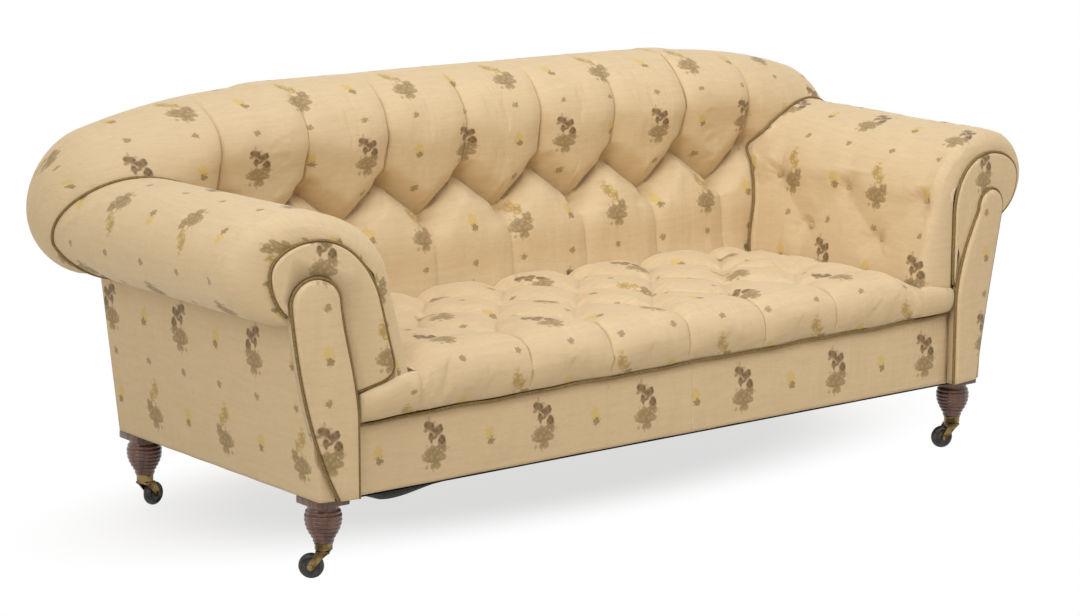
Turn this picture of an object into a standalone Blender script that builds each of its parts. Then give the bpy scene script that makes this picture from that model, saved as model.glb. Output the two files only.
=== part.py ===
"""Chesterfield sofa: buttoned seat, arms and rolled back on a wooden frame, with turned legs on castors.

Metres, +Z up, front towards -Y. The origin is on the floor under the middle of the whole sofa. Left and right
are as seen from the front. A depth runs backwards from the front cover; a reach runs outwards from the middle.
"""

import math

import bmesh
import bpy
from mathutils import Matrix, Vector

# Base frame
BASE_LENGTH = 1.600
BASE_DEPTH = 0.672
RAIL_UNDERSIDE = 0.147
RAIL_HEIGHT = 0.120
RAIL_THICKNESS = 0.030
BACK_RAKE = 0.080
ARM_LEAN = 0.060
COVER = 0.0037
FIT = 0.0003

# Arms, measured inwards or outwards from the side of the base
ARM_HEIGHT = 0.644
ARM_INSIDE = 0.190
ARM_INSIDE_LEAN = 0.037
ARM_INSIDE_DROP = 0.140
ARM_CROWN = 0.026
ARM_ROLL = 0.148
ARM_ROLL_DROP = 0.095
ARM_STUFFING = 0.080
ARM_EDGE = 0.034
ARM_SPLAY = 0.160
ARM_ROW_SHARES = (0.3185, 0.5892)
ARM_FIRST_BUTTON = 0.070
ARM_PITCH = 0.190

# Seat
SEAT_HEIGHT = 0.380
SEAT_SEAM = 0.280
SEAT_LIP = 0.031
SEAT_FIRST_ROW = 0.091
SEAT_ROW_STEP = 0.1117
SEAT_ROWS = 4

# Back
BACK_HEIGHT = 0.772
BACK_FOOT_DEPTH = 0.455
BACK_SLOPE = 0.3127
BACK_ROW_DROPS = (0.257, 0.197)
ROLL_DEPTH = 0.655
ROLL_HALF_DEPTH = 0.140
ROLL_HALF_HEIGHT = 0.100
EAR_REACH = 0.160
EAR_RADIUS = 0.100
EAR_DROP = 0.090
EAR_GROWTH = 0.030
EAR_SETBACK = 0.035

# Buttoning
PITCH = 0.185
BUTTON_PULL = 0.034
BUTTON_SPREAD = 0.060
FOLD_PULL = 0.017
FOLD_SPREAD = 0.036

# Facings, panels and cords
CORD = 0.0035
FACING = 0.009
PANEL = 0.020
PANEL_FOOT_INSIDE = 0.074
PANEL_FOOT_WIDTH = 0.054
PANEL_HEAD = 0.035
PANEL_HEAD_DROP = 0.139

# Legs and castors
LEG_CAP = 0.068
LEG_CAP_HEIGHT = 0.014
LEG_RADIUS = 0.033
LEG_FOOT_RADIUS = 0.0139
WHEEL_RADIUS = 0.0225
WHEEL_WIDTH = 0.018
TRAIL = 0.022
AXLE_RADIUS = 0.0026
CASTOR_TURNS = {"front_left": 138, "front_right": 162, "back_left": 18, "back_right": 40}

# Springing
WEBBING = 0.0025
WEB_WIDTH = 0.050
CANVAS = 0.0013
WIRE = 0.002
SPRING_RADIUS = 0.045
SPRING_WAIST = 0.030
SPRING_TURNS = 4
SPRING_REACHES = (-0.450, -0.160, 0.160, 0.450)
SPRING_DEPTHS = {"front": 0.125, "middle": 0.250, "back": 0.375}

# Worked out from the sizes above
HALF = BASE_LENGTH / 2
FRONT = (SEAT_LIP - (ROLL_DEPTH + EAR_SETBACK + ROLL_HALF_DEPTH - EAR_GROWTH)) / 2
FRAME_FRONT = FRONT + COVER + FIT
FRAME_BACK = FRAME_FRONT + RAIL_THICKNESS
RAIL_TOP = RAIL_UNDERSIDE + RAIL_HEIGHT
CANVAS_TOP = RAIL_TOP + FIT + CANVAS
SEAT_UNDERSIDE = CANVAS_TOP + FIT
ARM_BOTTOM = SEAT_HEIGHT - 0.050
LIP_TOP = ARM_BOTTOM - 0.0015
ARM_ROWS = tuple(ARM_BOTTOM + share * (ARM_HEIGHT - ARM_BOTTOM) for share in ARM_ROW_SHARES)
ARM_FACE = HALF - ARM_INSIDE
SEAT_REACH = ARM_FACE - 0.003
LIP_REACH = HALF - PANEL_FOOT_INSIDE - CORD - 2 * FIT
CROWN = HALF + ARM_CROWN
ARM_TURN = ARM_FACE + ARM_INSIDE_LEAN
ARM_TURN_HEIGHT = ARM_HEIGHT - ARM_INSIDE_DROP
ARM_ROLL_HEIGHT = ARM_HEIGHT - ARM_ROLL_DROP
CORE_INSIDE = ARM_FACE + ARM_STUFFING + 0.002
CORE_TOP = ARM_HEIGHT - ARM_STUFFING + 0.005
CORE_OUTSIDE = HALF + ARM_ROLL - 0.055
POST_INSIDE = CORE_INSIDE + 0.0005
BACK_ROWS = tuple(BACK_HEIGHT - drop for drop in BACK_ROW_DROPS)
BACK_FOOT_HEIGHT = ARM_BOTTOM - 0.030
ROLL_HEIGHT = BACK_HEIGHT - ROLL_HALF_HEIGHT
ROLL_START = ROLL_HEIGHT - 0.052
ROLL_LOW = CORE_TOP + 0.016
ROLL_RISE = 0.035
SLAB_REACH = ARM_FACE + 0.037
EAR_START = HALF - 0.200
EAR_FULL = HALF + 0.080
EAR_CENTRE = HALF + EAR_REACH - EAR_RADIUS
EAR_INSIDE = HALF
POST_REACHES = (HALF - 0.075, HALF - 0.012)
POST_DEPTH = 0.042
TOP_RAIL_UNDERSIDE = ROLL_HEIGHT - 0.050
TOP_RAIL_TOP = ROLL_HEIGHT - 0.010
ARM_RAIL_REACHES = (CORE_INSIDE + 0.037, HALF - 0.008)
ARM_RAIL_HEIGHT = 0.0347
LEG_INSET = LEG_CAP / 2
FORK_CROWN = 2 * WHEEL_RADIUS + 0.0015
FORK_TOP = FORK_CROWN + 0.004
CUP_UNDERSIDE = FORK_TOP + 0.0005
CUP_FLOOR = CUP_UNDERSIDE + 0.0035
PIN_HEAD = CUP_FLOOR + 0.0003
LEG_FOOT = PIN_HEAD + 0.0037
CUP_RIM = LEG_FOOT + 0.0070
LEG_TOP = RAIL_UNDERSIDE - FIT


def at_depth(depth):
    return FRONT + depth


def splay(s):
    """How far the front of an arm is turned back at a reach; its inside stands forward."""
    return ARM_SPLAY * (s - HALF)


def smooth_step(value):
    t = min(max(value, 0.0), 1.0)
    return t * t * (3 - 2 * t)


def between(first, last, count):
    return [first + (last - first) * i / (count - 1) for i in range(count)]


def bezier(start, start_handle, end_handle, end, count):
    """Points along a cubic curve in a plane."""
    points = []
    for t in between(0, 1, count):
        weights = ((1 - t) ** 3, 3 * t * (1 - t) ** 2, 3 * t * t * (1 - t), t**3)
        corners = (start, start_handle, end_handle, end)
        points.append(tuple(sum(w * c[k] for w, c in zip(weights, corners)) for k in range(2)))
    return points


def arc(centre, radii, first, last, count):
    """Points on an ellipse in a plane, between two angles in degrees."""
    angles = [math.radians(a) for a in between(first, last, count)]
    return [(centre[0] + radii[0] * math.cos(a), centre[1] + radii[1] * math.sin(a)) for a in angles]


def moved_in(points, distance, closed=False):
    """A line moved to its right by a distance, point by point."""
    count = len(points)
    moved = []
    for i, (u, v) in enumerate(points):
        before = points[(i - 1) % count] if closed or i else points[i]
        after = points[(i + 1) % count] if closed or i < count - 1 else points[i]
        along = Vector((after[0] - before[0], after[1] - before[1])).normalized()
        moved.append((u + along.y * distance, v - along.x * distance))
    return moved


# Materials and objects


def material(name, colour, roughness, metallic=0.0):
    made = bpy.data.materials.new(name)
    made.diffuse_color = (*colour, 1)
    made.use_nodes = True
    shader = made.node_tree.nodes["Principled BSDF"]
    shader.inputs["Base Color"].default_value = (*colour, 1)
    shader.inputs["Roughness"].default_value = roughness
    shader.inputs["Metallic"].default_value = metallic
    return made


def solid(name, bm, finish):
    """A finished object from a closed bmesh."""
    bmesh.ops.remove_doubles(bm, verts=bm.verts, dist=1e-7)
    bmesh.ops.triangulate(bm, faces=bm.faces)
    bmesh.ops.recalc_face_normals(bm, faces=bm.faces)
    mesh = bpy.data.meshes.new(name)
    bm.to_mesh(mesh)
    bm.free()
    if finish:
        mesh.materials.append(finish)
    made = bpy.data.objects.new(name, mesh)
    bpy.context.collection.objects.link(made)
    return made


def helper(made):
    made.hide_render = True
    made.display_type = "WIRE"
    return made


def combine(made, other, operation):
    step = made.modifiers.new(operation.lower(), "BOOLEAN")
    step.operation = operation
    step.solver = "EXACT"
    step.object = helper(other)


def skinned(rings):
    """A closed bmesh through rings of equally many points, with its two ends filled."""
    bm = bmesh.new()
    rows = [[bm.verts.new(point) for point in ring] for ring in rings]
    for row, following in zip(rows, rows[1:]):
        for i in range(len(row)):
            j = (i + 1) % len(row)
            bm.faces.new((row[i], row[j], following[j], following[i]))
    bm.faces.new(rows[0])
    bm.faces.new(rows[-1])
    return bm


def box(name, low, high, finish):
    bm = bmesh.new()
    size = [b - a for a, b in zip(low, high)]
    middle = [(a + b) / 2 for a, b in zip(low, high)]
    bmesh.ops.create_cube(bm, size=1, matrix=Matrix.Translation(middle) @ Matrix.Diagonal((*size, 1)))
    return solid(name, bm, finish)


def prism(name, outline, front, back, finish):
    """A board with an outline in the XZ plane."""
    return solid(name, skinned([[(x, y, z) for x, z in outline] for y in (front, back)]), finish)


def arm_board(name, outline, side, front, back, finish):
    """A board on one arm, with an outline as (reach, height), turned as the front of the arm is."""
    rings = [[(side * s, y + splay(s), z) for s, z in outline] for y in (front, back)]
    return solid(name, skinned(rings), finish)


def raked(name, low, high, finish):
    """A box that leans back as the back of the sofa does; its depths are those at the underside of the rails."""
    lean = BACK_RAKE * (high[2] - low[2])
    ring = [(low[0], low[1]), (high[0], low[1]), (high[0], high[1]), (low[0], high[1])]
    foot = [(x, y, low[2]) for x, y in ring]
    head = [(x, y + lean, high[2]) for x, y in ring]
    return solid(name, skinned([foot, head]), finish)


def turned(profile, segments, closed=False):
    """A bmesh turned round Z from (radius, height) points; an open profile starts and ends on the axis."""
    bm = bmesh.new()
    points = [bm.verts.new((r, 0, z)) for r, z in profile]
    edges = [bm.edges.new(pair) for pair in zip(points, points[1:])]
    if closed:
        edges.append(bm.edges.new((points[-1], points[0])))
    bmesh.ops.spin(
        bm, geom=points + edges, cent=(0, 0, 0), axis=(0, 0, 1), angle=math.tau, steps=segments, use_merge=True
    )
    bmesh.ops.remove_doubles(bm, verts=bm.verts, dist=1e-6)
    return bm


def tube(path, radius, sides, across):
    """A closed bmesh of a round cord along points; across is a direction that the cord never runs along."""
    rings = []
    for i, point in enumerate(path):
        along = (Vector(path[min(i + 1, len(path) - 1)]) - Vector(path[max(i - 1, 0)])).normalized()
        first = along.cross(Vector(across)).normalized()
        second = along.cross(first)
        angles = [math.tau * k / sides for k in range(sides)]
        rings.append([Vector(point) + radius * (math.cos(a) * first + math.sin(a) * second) for a in angles])
    return skinned(rings)


# Buttoning


def pull(u, v, buttons, folds):
    """How far the cover is drawn in at a point, by buttons and by the folds (start, end, share) between them."""
    depth = 0.0
    for button in buttons:
        near = 1 - min(math.hypot(u - button[0], v - button[1]) / BUTTON_SPREAD, 1)
        depth = max(depth, BUTTON_PULL * near**2)
    for start, end, share in folds:
        du, dv = end[0] - start[0], end[1] - start[1]
        t = min(max(((u - start[0]) * du + (v - start[1]) * dv) / (du * du + dv * dv), 0), 1)
        near = 1 - min(math.hypot(u - start[0] - t * du, v - start[1] - t * dv) / FOLD_SPREAD, 1)
        depth = max(depth, share * FOLD_PULL * near**2)
    return depth


def button_row(reach, offset):
    """Positions at one pitch, on the middle or half a pitch from it, as far out as a reach."""
    steps = range(-40, 41)
    return [(k + offset) * PITCH for k in steps if abs((k + offset) * PITCH) < reach]


def diamonds(rows):
    """The folds between each button and its nearest ones in the next row."""
    found = []
    for row, following in zip(rows, rows[1:]):
        for a in row:
            found += [(a, b, 1.0) for b in following if abs(a[0] - b[0]) < 0.6 * PITCH]
    return found


# Back


def roll_at(x):
    """Depth and height of the roll's middle, and its half depth and half height, at a distance from the middle."""
    t = smooth_step((abs(x) - EAR_START) / (EAR_FULL - EAR_START))
    past = min(max((abs(x) - EAR_CENTRE) / EAR_RADIUS, 0), 1)
    size = math.sqrt(1 - past * past)
    half_depth = (ROLL_HALF_DEPTH - EAR_GROWTH * t) * size
    half_height = (ROLL_HALF_HEIGHT + EAR_GROWTH * t) * size
    return ROLL_DEPTH + EAR_SETBACK * t, ROLL_HEIGHT - EAR_DROP * t, half_depth, half_height


def slab_depth(z):
    return BACK_FOOT_DEPTH + BACK_SLOPE * (z - BACK_FOOT_HEIGHT)


def roll_front(x, z):
    depth, height, half_depth, half_height = roll_at(x)
    level = min(max((z - height) / half_height, -0.8), 0.98)
    return depth - half_depth * math.sqrt(1 - level * level)


def back_front(x, z):
    """Depth of the front of the back stuffing, as the arms meet it."""
    if abs(x) > EAR_INSIDE - 0.005 or z > ROLL_START:
        return roll_front(x, z)
    if z < BACK_ROWS[1]:
        return slab_depth(z)
    t = (z - BACK_ROWS[1]) / (ROLL_START - BACK_ROWS[1])
    return (1 - t) * slab_depth(BACK_ROWS[1]) + t * roll_front(x, ROLL_START)


def outside_back_depth(z):
    return BASE_DEPTH + BACK_RAKE * (z - RAIL_UNDERSIDE)


def roll_tail(x):
    """Angle, from the front of the roll over its top, at which it comes down on the outside back."""
    depth, height, half_depth, half_height = roll_at(x)
    for step in range(180, 271):
        a = math.radians(step)
        z = height + half_height * math.sin(a)
        if depth - half_depth * math.cos(a) < outside_back_depth(z) + 2 * FIT:
            return a - math.radians(1)
    return math.radians(225)


def roll_points(x, first, last, count):
    depth, height, half_depth, half_height = roll_at(x)
    angles = between(first, last, count)
    return [(depth - half_depth * math.cos(a), height + half_height * math.sin(a)) for a in angles]


_, TAIL_Z = roll_points(0, roll_tail(0), roll_tail(0) + 0.01, 2)[0]
OUTSIDE_BACK_TOP = TAIL_Z - 0.003
BACK_UPPER = button_row(SLAB_REACH + 0.02, 0.5)
BACK_LOWER = button_row(SLAB_REACH - 0.02, 0)
BACK_BUTTONS = [(x, BACK_ROWS[1]) for x in BACK_UPPER] + [(x, BACK_ROWS[0]) for x in BACK_LOWER]
BACK_FOLDS = diamonds([[(x, BACK_ROWS[1]) for x in BACK_UPPER], [(x, BACK_ROWS[0]) for x in BACK_LOWER]])
BACK_FOLDS += [((x, BACK_ROWS[0]), (x, BACK_FOOT_HEIGHT), 0.35) for x in BACK_LOWER]


def back_ring(x):
    """One section of the back stuffing: up its front, over the roll, and back inside round the top rail."""
    depth, height, half_depth, half_height = roll_at(x)
    rows = between(BACK_FOOT_HEIGHT, BACK_ROWS[0], 4) + between(BACK_ROWS[0], BACK_ROWS[1], 3)[1:]
    if abs(x) >= EAR_INSIDE:
        first = math.radians(-35)
        outer = roll_points(x, math.radians(-88), first - 0.1, len(rows))
        outer += roll_points(x, first, math.radians(215), 9)
        inner = roll_points(x, math.radians(219), math.radians(266), 5)
    else:
        base = ROLL_START if abs(x) <= SLAB_REACH else max(ROLL_START, ROLL_LOW + ROLL_RISE)
        start = math.asin(min(max((base - height) / half_height, -0.9), 0.9))
        tail = roll_tail(x)
        if abs(x) <= SLAB_REACH:
            outer = [(slab_depth(z) + pull(x, z, BACK_BUTTONS, BACK_FOLDS), z) for z in rows]
            foot = (BACK_FOOT_DEPTH + 0.075, BACK_FOOT_HEIGHT)
        else:
            outer = [(roll_front(x, z), z) for z in between(ROLL_LOW, ROLL_LOW + ROLL_RISE / 3, len(rows))]
            foot = (ROLL_DEPTH - 0.055, ROLL_LOW)
        fold = pull(x, 0, [], [((b, -1), (b, 1), 0.8) for b in BACK_UPPER]) if abs(x) < SLAB_REACH + 0.02 else 0
        for i, (d, z) in enumerate(roll_points(x, start, tail, 9)):
            keep = 1 - fold * (1 - i / 9) / 0.12
            outer.append((depth + (d - depth) * keep, height + (z - height) * keep))
        tail_foot = outside_back_depth(OUTSIDE_BACK_TOP) + 2 * FIT
        rail_back = outside_back_depth(TOP_RAIL_UNDERSIDE) - COVER - 0.003
        inner = [
            (tail_foot, OUTSIDE_BACK_TOP + 2 * FIT),
            (rail_back + 2 * FIT, TOP_RAIL_UNDERSIDE + 2 * FIT),
            (rail_back + 2 * FIT, TOP_RAIL_TOP + 2 * FIT),
            (rail_back - 0.100, TOP_RAIL_TOP + 2 * FIT),
            foot,
        ]
    return [(x, at_depth(d), z) for d, z in outer + inner]


def back_pad(finish):
    quarter = PITCH / 4
    middle = [k * quarter for k in range(int(SLAB_REACH / quarter) + 1)]
    sides = [SLAB_REACH, SLAB_REACH + 0.010] + between(SLAB_REACH + 0.045, EAR_INSIDE - 0.005, 3)
    ends = [EAR_INSIDE] + [EAR_CENTRE + EAR_RADIUS * math.sin(math.radians(a)) for a in (-18, 0, 30, 50, 68, 80)]
    half = [x for x in middle if x < SLAB_REACH - 0.002] + sides + ends
    rings = [back_ring(x) for x in [-v for v in half[:0:-1]] + half]
    return solid("back_pad", skinned(rings), finish)


def back_cutters(back):
    """Copies of the back stuffing, each moved a little, that cut the arms clear of it."""
    gap = 0.0006
    cutters = []
    for i, move in enumerate(((0, 0), (0, -gap), (gap, 0), (-gap, 0))):
        copy = helper(bpy.data.objects.new(f"back_cutter_{i}", back.data))
        copy.location = (move[0], -gap, move[1])
        bpy.context.collection.objects.link(copy)
        cutters.append(copy)
    return cutters


# Arms, drawn for the right-hand side and mirrored by a side of -1


def arm_outline():
    """The arm's outside from the seat up over the crown and round under the roll, as (reach, height)."""

    def inside(z):
        if z < ARM_TURN_HEIGHT:
            return ARM_FACE + ARM_INSIDE_LEAN * (z - ARM_BOTTOM) / (ARM_TURN_HEIGHT - ARM_BOTTOM)
        level = (z - ARM_TURN_HEIGHT) / ARM_INSIDE_DROP
        return CROWN - (CROWN - ARM_TURN) * math.sqrt(1 - level * level)

    heights = between(ARM_BOTTOM, ARM_ROWS[0], 3) + between(ARM_ROWS[0], ARM_ROWS[1], 3)[1:]
    face = [(inside(z), z) for z in heights]
    over = arc((CROWN, ARM_TURN_HEIGHT), (CROWN - ARM_TURN, ARM_INSIDE_DROP), 157, 90, 4)
    under = arc((CROWN, ARM_ROLL_HEIGHT), (HALF + ARM_ROLL - CROWN, ARM_ROLL_DROP), 90, -90, 8)
    return face + over + under[1:]


def arm_edge(taken):
    """The outline taken in at the front edge, more so outside the crown, and hardly at its end under the roll."""
    outline = arm_outline()
    points = []
    for i, ((s, z), (u, v)) in enumerate(zip(outline, moved_in(outline, taken))):
        share = {1: 0.1, 2: 0.6}.get(len(outline) - i, 1.0 if s < CROWN + 0.01 else 1.4)
        points.append((s + share * (u - s), z + share * (v - z)))
    return points


def arm_core():
    """The hollow round the frame, from under the roll back down to the seat."""
    under = arm_outline()[-1]
    return [
        (under[0] - 0.008, under[1] + 0.006),
        (CORE_OUTSIDE, under[1] + 0.048),
        (CORE_OUTSIDE, CORE_TOP),
        (CORE_INSIDE + 0.035, CORE_TOP),
        (CORE_INSIDE, CORE_TOP - 0.035),
        (CORE_INSIDE, ARM_BOTTOM),
    ]


def arm_buttons():
    last = back_front(ARM_FACE, ARM_ROWS[1]) - 0.03
    upper = [ARM_FIRST_BUTTON + k * ARM_PITCH for k in range(3)]
    lower = [d + ARM_PITCH / 2 for d in upper]
    return [[(d, z) for d in row if d < last] for z, row in zip(ARM_ROWS, (lower, upper))]


def arm_pad(name, side, cutters, finish):
    outline, core = arm_outline(), arm_core()
    lower, upper = arm_buttons()
    folds = [(a, b, 1.0) for a in upper for b in lower if abs(a[0] - b[0]) < 0.6 * ARM_PITCH]
    folds += [(a, (a[0], ARM_HEIGHT), 0.6) for a in upper] + [(a, (a[0], ARM_BOTTOM), 0.35) for a in lower]

    def turned_back(s, d):
        return at_depth(d) + splay(s) * max(0, 1 - max(d - ARM_EDGE, 0) / ARM_PITCH)

    def ring(depths, taken):
        points = []
        for (s, z), d in zip(arm_edge(taken), depths):
            drawn = pull(d, z, lower + upper, folds) if s < CROWN - 0.02 and not taken else 0
            points.append((side * (s + drawn), turned_back(s, d), max(z, ARM_BOTTOM)))
        return points

    def core_ring(depths):
        return [(side * s, turned_back(s, d), z) for (s, z), d in zip(core, depths)]

    frame = COVER + FIT
    ends = [back_front(s, z) + 0.015 for s, z in outline]
    core_ends = [back_front(s, z) + 0.015 for s, z in core]
    rings = []
    for depth, taken in ((frame, ARM_EDGE), (frame + 0.008, 0.36 * ARM_EDGE), (frame + ARM_EDGE, 0.0)):
        rings.append(ring([depth] * len(outline), taken) + core_ring([depth] * len(core)))
    start = ARM_FIRST_BUTTON
    stations = [start + k * ARM_PITCH / 4 for k in range(9)]
    last = min(ends) - 0.030
    for depth in [d for d in stations if d < last] + [last]:
        rings.append(ring([depth] * len(outline), 0.0) + core_ring([depth] * len(core)))
    rings.append(ring(ends, 0.0) + core_ring(core_ends))
    made = solid(name, skinned(rings), finish)
    for cutter in cutters:
        combine(made, cutter, "DIFFERENCE")


def panel_outline():
    """The narrow padded panel on the front post, from its inside foot up round its head to its outside foot."""
    inside = HALF - PANEL_FOOT_INSIDE
    outside = inside + PANEL_FOOT_WIDTH
    head = (HALF + 0.017, ARM_HEIGHT - PANEL_HEAD_DROP)
    foot = RAIL_UNDERSIDE + 0.001
    rise = head[1] - foot
    bend = (inside, head[1] - 0.36 * rise)
    inner = bezier(
        bend, (inside + 0.002, head[1] - 0.2 * rise), (inside + 0.032, head[1] - 0.1 * rise), (head[0] - PANEL_HEAD, head[1]), 5
    )
    over = arc(head, (PANEL_HEAD, PANEL_HEAD), 180, 0, 7)
    outer = bezier(
        (head[0] + PANEL_HEAD, head[1]),
        (head[0] + PANEL_HEAD - 0.007, head[1] - 0.28 * rise),
        (outside + 0.032, foot + 0.29 * rise),
        (outside, foot),
        7,
    )
    return [(inside, foot)] + inner + over[1:] + outer[1:]


def facing_line():
    """Where the outer facing's cord runs, from beside the panel round the scroll to the panel's other side."""
    inset = arm_edge(ARM_EDGE + CORD + FIT)
    start = (HALF - PANEL_FOOT_INSIDE + 0.012, ARM_BOTTOM + 0.011)
    corner = bezier((ARM_FACE + 0.070, ARM_BOTTOM + 0.013), (ARM_FACE + 0.040, ARM_BOTTOM + 0.015), inset[1], inset[2], 5)
    return [start] + corner + inset[3:]


def arm_trim(name, side, cloth, cord):
    """Facing, front panel and their two cords on one arm, and the cutter that clears the panel's edge."""
    outline = panel_outline()
    seat = FRAME_FRONT - FIT
    foot = outline[0][1]
    slim = moved_in(outline, CORD + FIT)
    slim[0], slim[-1] = (slim[0][0], foot), (slim[-1][0], foot)
    wide = moved_in(outline, -CORD - FIT)
    wide[0], wide[-1] = (wide[0][0], RAIL_UNDERSIDE - 0.02), (wide[-1][0], RAIL_UNDERSIDE - 0.02)
    soft = moved_in(slim, 0.005)
    soft[0], soft[-1] = (soft[0][0], foot), (soft[-1][0], foot)
    levels = ((seat, slim), (seat - PANEL + 0.005, slim), (seat - PANEL, soft))
    rings = [[(side * s, y + splay(s), z) for s, z in line] for y, line in levels]
    solid(f"{name}_front_panel", skinned(rings), cloth)
    edge = [(side * s, seat - 0.011 + splay(s), z) for s, z in outline]
    solid(f"{name}_panel_cord", tube(edge, CORD, 6, (0, 1, 0)), cord)
    cutter = helper(arm_board(f"{name}_panel_cutter", wide, side, seat - 0.06, FRAME_FRONT + 0.001, None))
    line = facing_line()
    inset = moved_in(line, CORD + FIT)
    facing = arm_board(f"{name}_arm_facing", inset, side, seat - FACING, seat, cloth)
    combine(facing, cutter, "DIFFERENCE")
    path = [(side * s, seat - CORD + splay(s), z) for s, z in line]
    rope = solid(f"{name}_facing_cord", tube(path, CORD, 6, (0, 1, 0)), cord)
    combine(rope, cutter, "DIFFERENCE")
    return cutter


def outside_arm(name, side, cutter, finish):
    """The outside arm cover, folded round the front corner as far as the panel."""
    under = arm_outline()[-1][1] - 0.005
    top = HALF + ARM_LEAN * (under - RAIL_UNDERSIDE)
    turn = FRAME_FRONT - FIT
    rings = []
    foot = HALF - PANEL_FOOT_INSIDE + PANEL_FOOT_WIDTH / 2
    for z, s, inner in ((RAIL_UNDERSIDE, HALF, foot), (under, top, HALF)):
        back = at_depth(outside_back_depth(z)) - COVER - FIT
        plan = [
            (s, turn - COVER + splay(s)),
            (s, back),
            (s - COVER, back),
            (s - COVER, turn + splay(s - COVER)),
            (inner, turn + splay(inner)),
            (inner, turn - COVER + splay(inner)),
        ]
        rings.append([(side * x, y, z) for x, y in plan])
    made = solid(name, skinned(rings), finish)
    combine(made, cutter, "DIFFERENCE")


def outside_back(finish):
    """The raked cover behind, stepped in where the ends of the back roll hang over it."""
    step = arm_outline()[-1][1] + 0.003
    wide = HALF + ARM_LEAN * (step - RAIL_UNDERSIDE) - 0.002
    half = [(HALF, RAIL_UNDERSIDE), (wide, step), (HALF - 0.008, step + 0.001), (HALF - 0.008, OUTSIDE_BACK_TOP)]
    outline = half + [(-x, z) for x, z in reversed(half)]
    rings = [[(x, at_depth(outside_back_depth(z)) - back, z) for x, z in outline] for back in (COVER, 0)]
    solid("outside_back", skinned(rings), finish)


# Seat

SEAT_BUTTONS = [
    [(x, SEAT_FIRST_ROW + k * SEAT_ROW_STEP) for x in button_row(0.8 * SEAT_REACH, 0.5 * (k % 2))]
    for k in range(SEAT_ROWS)
]
SEAT_FOLDS = diamonds(SEAT_BUTTONS)
SEAT_FOLDS += [((x, d), (x, -0.02), 0.7) for x, d in SEAT_BUTTONS[0]]
SEAT_FOLDS += [((x, d), (x, d + 0.06), 0.7) for x, d in SEAT_BUTTONS[-1]]
SEAT_SPOTS = [button for row in SEAT_BUTTONS for button in row]


def seat_ring(x):
    """One section of the seat, from its back edge over the top and down the front lip to the seam."""
    nose = [(0.012, 0.985), (-0.014, 0.93), (-0.028, 0.62), (-0.031, 0.30), (-0.022, 0.09), (-0.002, 0.045)]
    steps = 2 * SEAT_ROWS - 1
    last = SEAT_FIRST_ROW + (SEAT_ROWS - 1) * SEAT_ROW_STEP
    depths = [last + 0.032] + [last - k * SEAT_ROW_STEP / 2 for k in range(steps)] + [SEAT_FIRST_ROW / 2]
    crown = SEAT_HEIGHT - SEAT_SEAM
    if abs(x) <= SEAT_REACH:
        side = 0.018 * smooth_step((abs(x) - SEAT_REACH + 0.05) / 0.05)
        points = [(slab_depth(SEAT_UNDERSIDE) - 0.001, SEAT_UNDERSIDE)]
        points.append((slab_depth(SEAT_HEIGHT - 0.04) - 0.001, SEAT_HEIGHT - 0.04))
        for d in depths:
            drop = 0.014 if d == depths[0] else 0
            points.append((d, SEAT_HEIGHT - side - drop - pull(x, d, SEAT_SPOTS, SEAT_FOLDS)))
        for d, level in nose:
            drawn = pull(x, 0.0, [], SEAT_FOLDS)
            d = d * SEAT_LIP / 0.031 if d < 0 else d
            points.append((d + 0.6 * drawn * min(level, 1), SEAT_SEAM + level * (crown - side) - drawn * level))
        seam = points[-1][1]
        points += [(COVER + 0.001, seam), (COVER + 0.003, SEAT_UNDERSIDE if abs(x) < SEAT_REACH else seam)]
    else:
        foot = SEAT_SEAM + CORD + 2 * FIT
        rise = LIP_TOP - foot
        lip = SEAT_LIP / 0.031 * (1 - 0.6 * smooth_step((abs(x) - LIP_REACH + 0.05) / 0.05))
        points = [(-0.0008, foot + 0.009 * rise), (-0.0008, foot + 0.866 * rise)]
        across = between(-0.002, -0.014, len(depths))
        points += [(d * lip - 0.001, foot + (0.866 + 0.134 * i / len(across)) * rise) for i, d in enumerate(across)]
        for d, level in ((-0.018, 0.99), (-0.025, 0.935), (-0.029, 0.74), (-0.031, 0.48), (-0.022, 0.13), (-0.004, 0.006)):
            points.append((d * lip - 0.001 * (d > -0.03), foot + level * rise))
        points += [(-0.0026, foot + 0.003 * rise), (-0.0016, foot + 0.003 * rise)]
    return [(x, at_depth(d), z) for d, z in points]


def seat_pad(finish):
    quarter = PITCH / 4
    half = [k * quarter for k in range(int(SEAT_REACH / quarter) + 1) if k * quarter < SEAT_REACH - 0.012]
    half += [SEAT_REACH, SEAT_REACH + 0.0015, LIP_REACH - 0.045, LIP_REACH - 0.02, LIP_REACH]
    rings = [seat_ring(x) for x in [-v for v in half[:0:-1]] + half]
    return solid("seat_pad", skinned(rings), finish)


def front_border(cloth, cord):
    end = LIP_REACH
    seam = SEAT_SEAM - CORD - FIT
    box("front_border", (-end, FRONT, RAIL_UNDERSIDE), (end, FRONT + COVER, seam), cloth)
    path = [(x, FRONT - CORD - FIT, SEAT_SEAM) for x in between(-end, end, 9)]
    solid("seat_cord", tube(path, CORD, 6, (0, 1, 0)), cord)


# Frame


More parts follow.
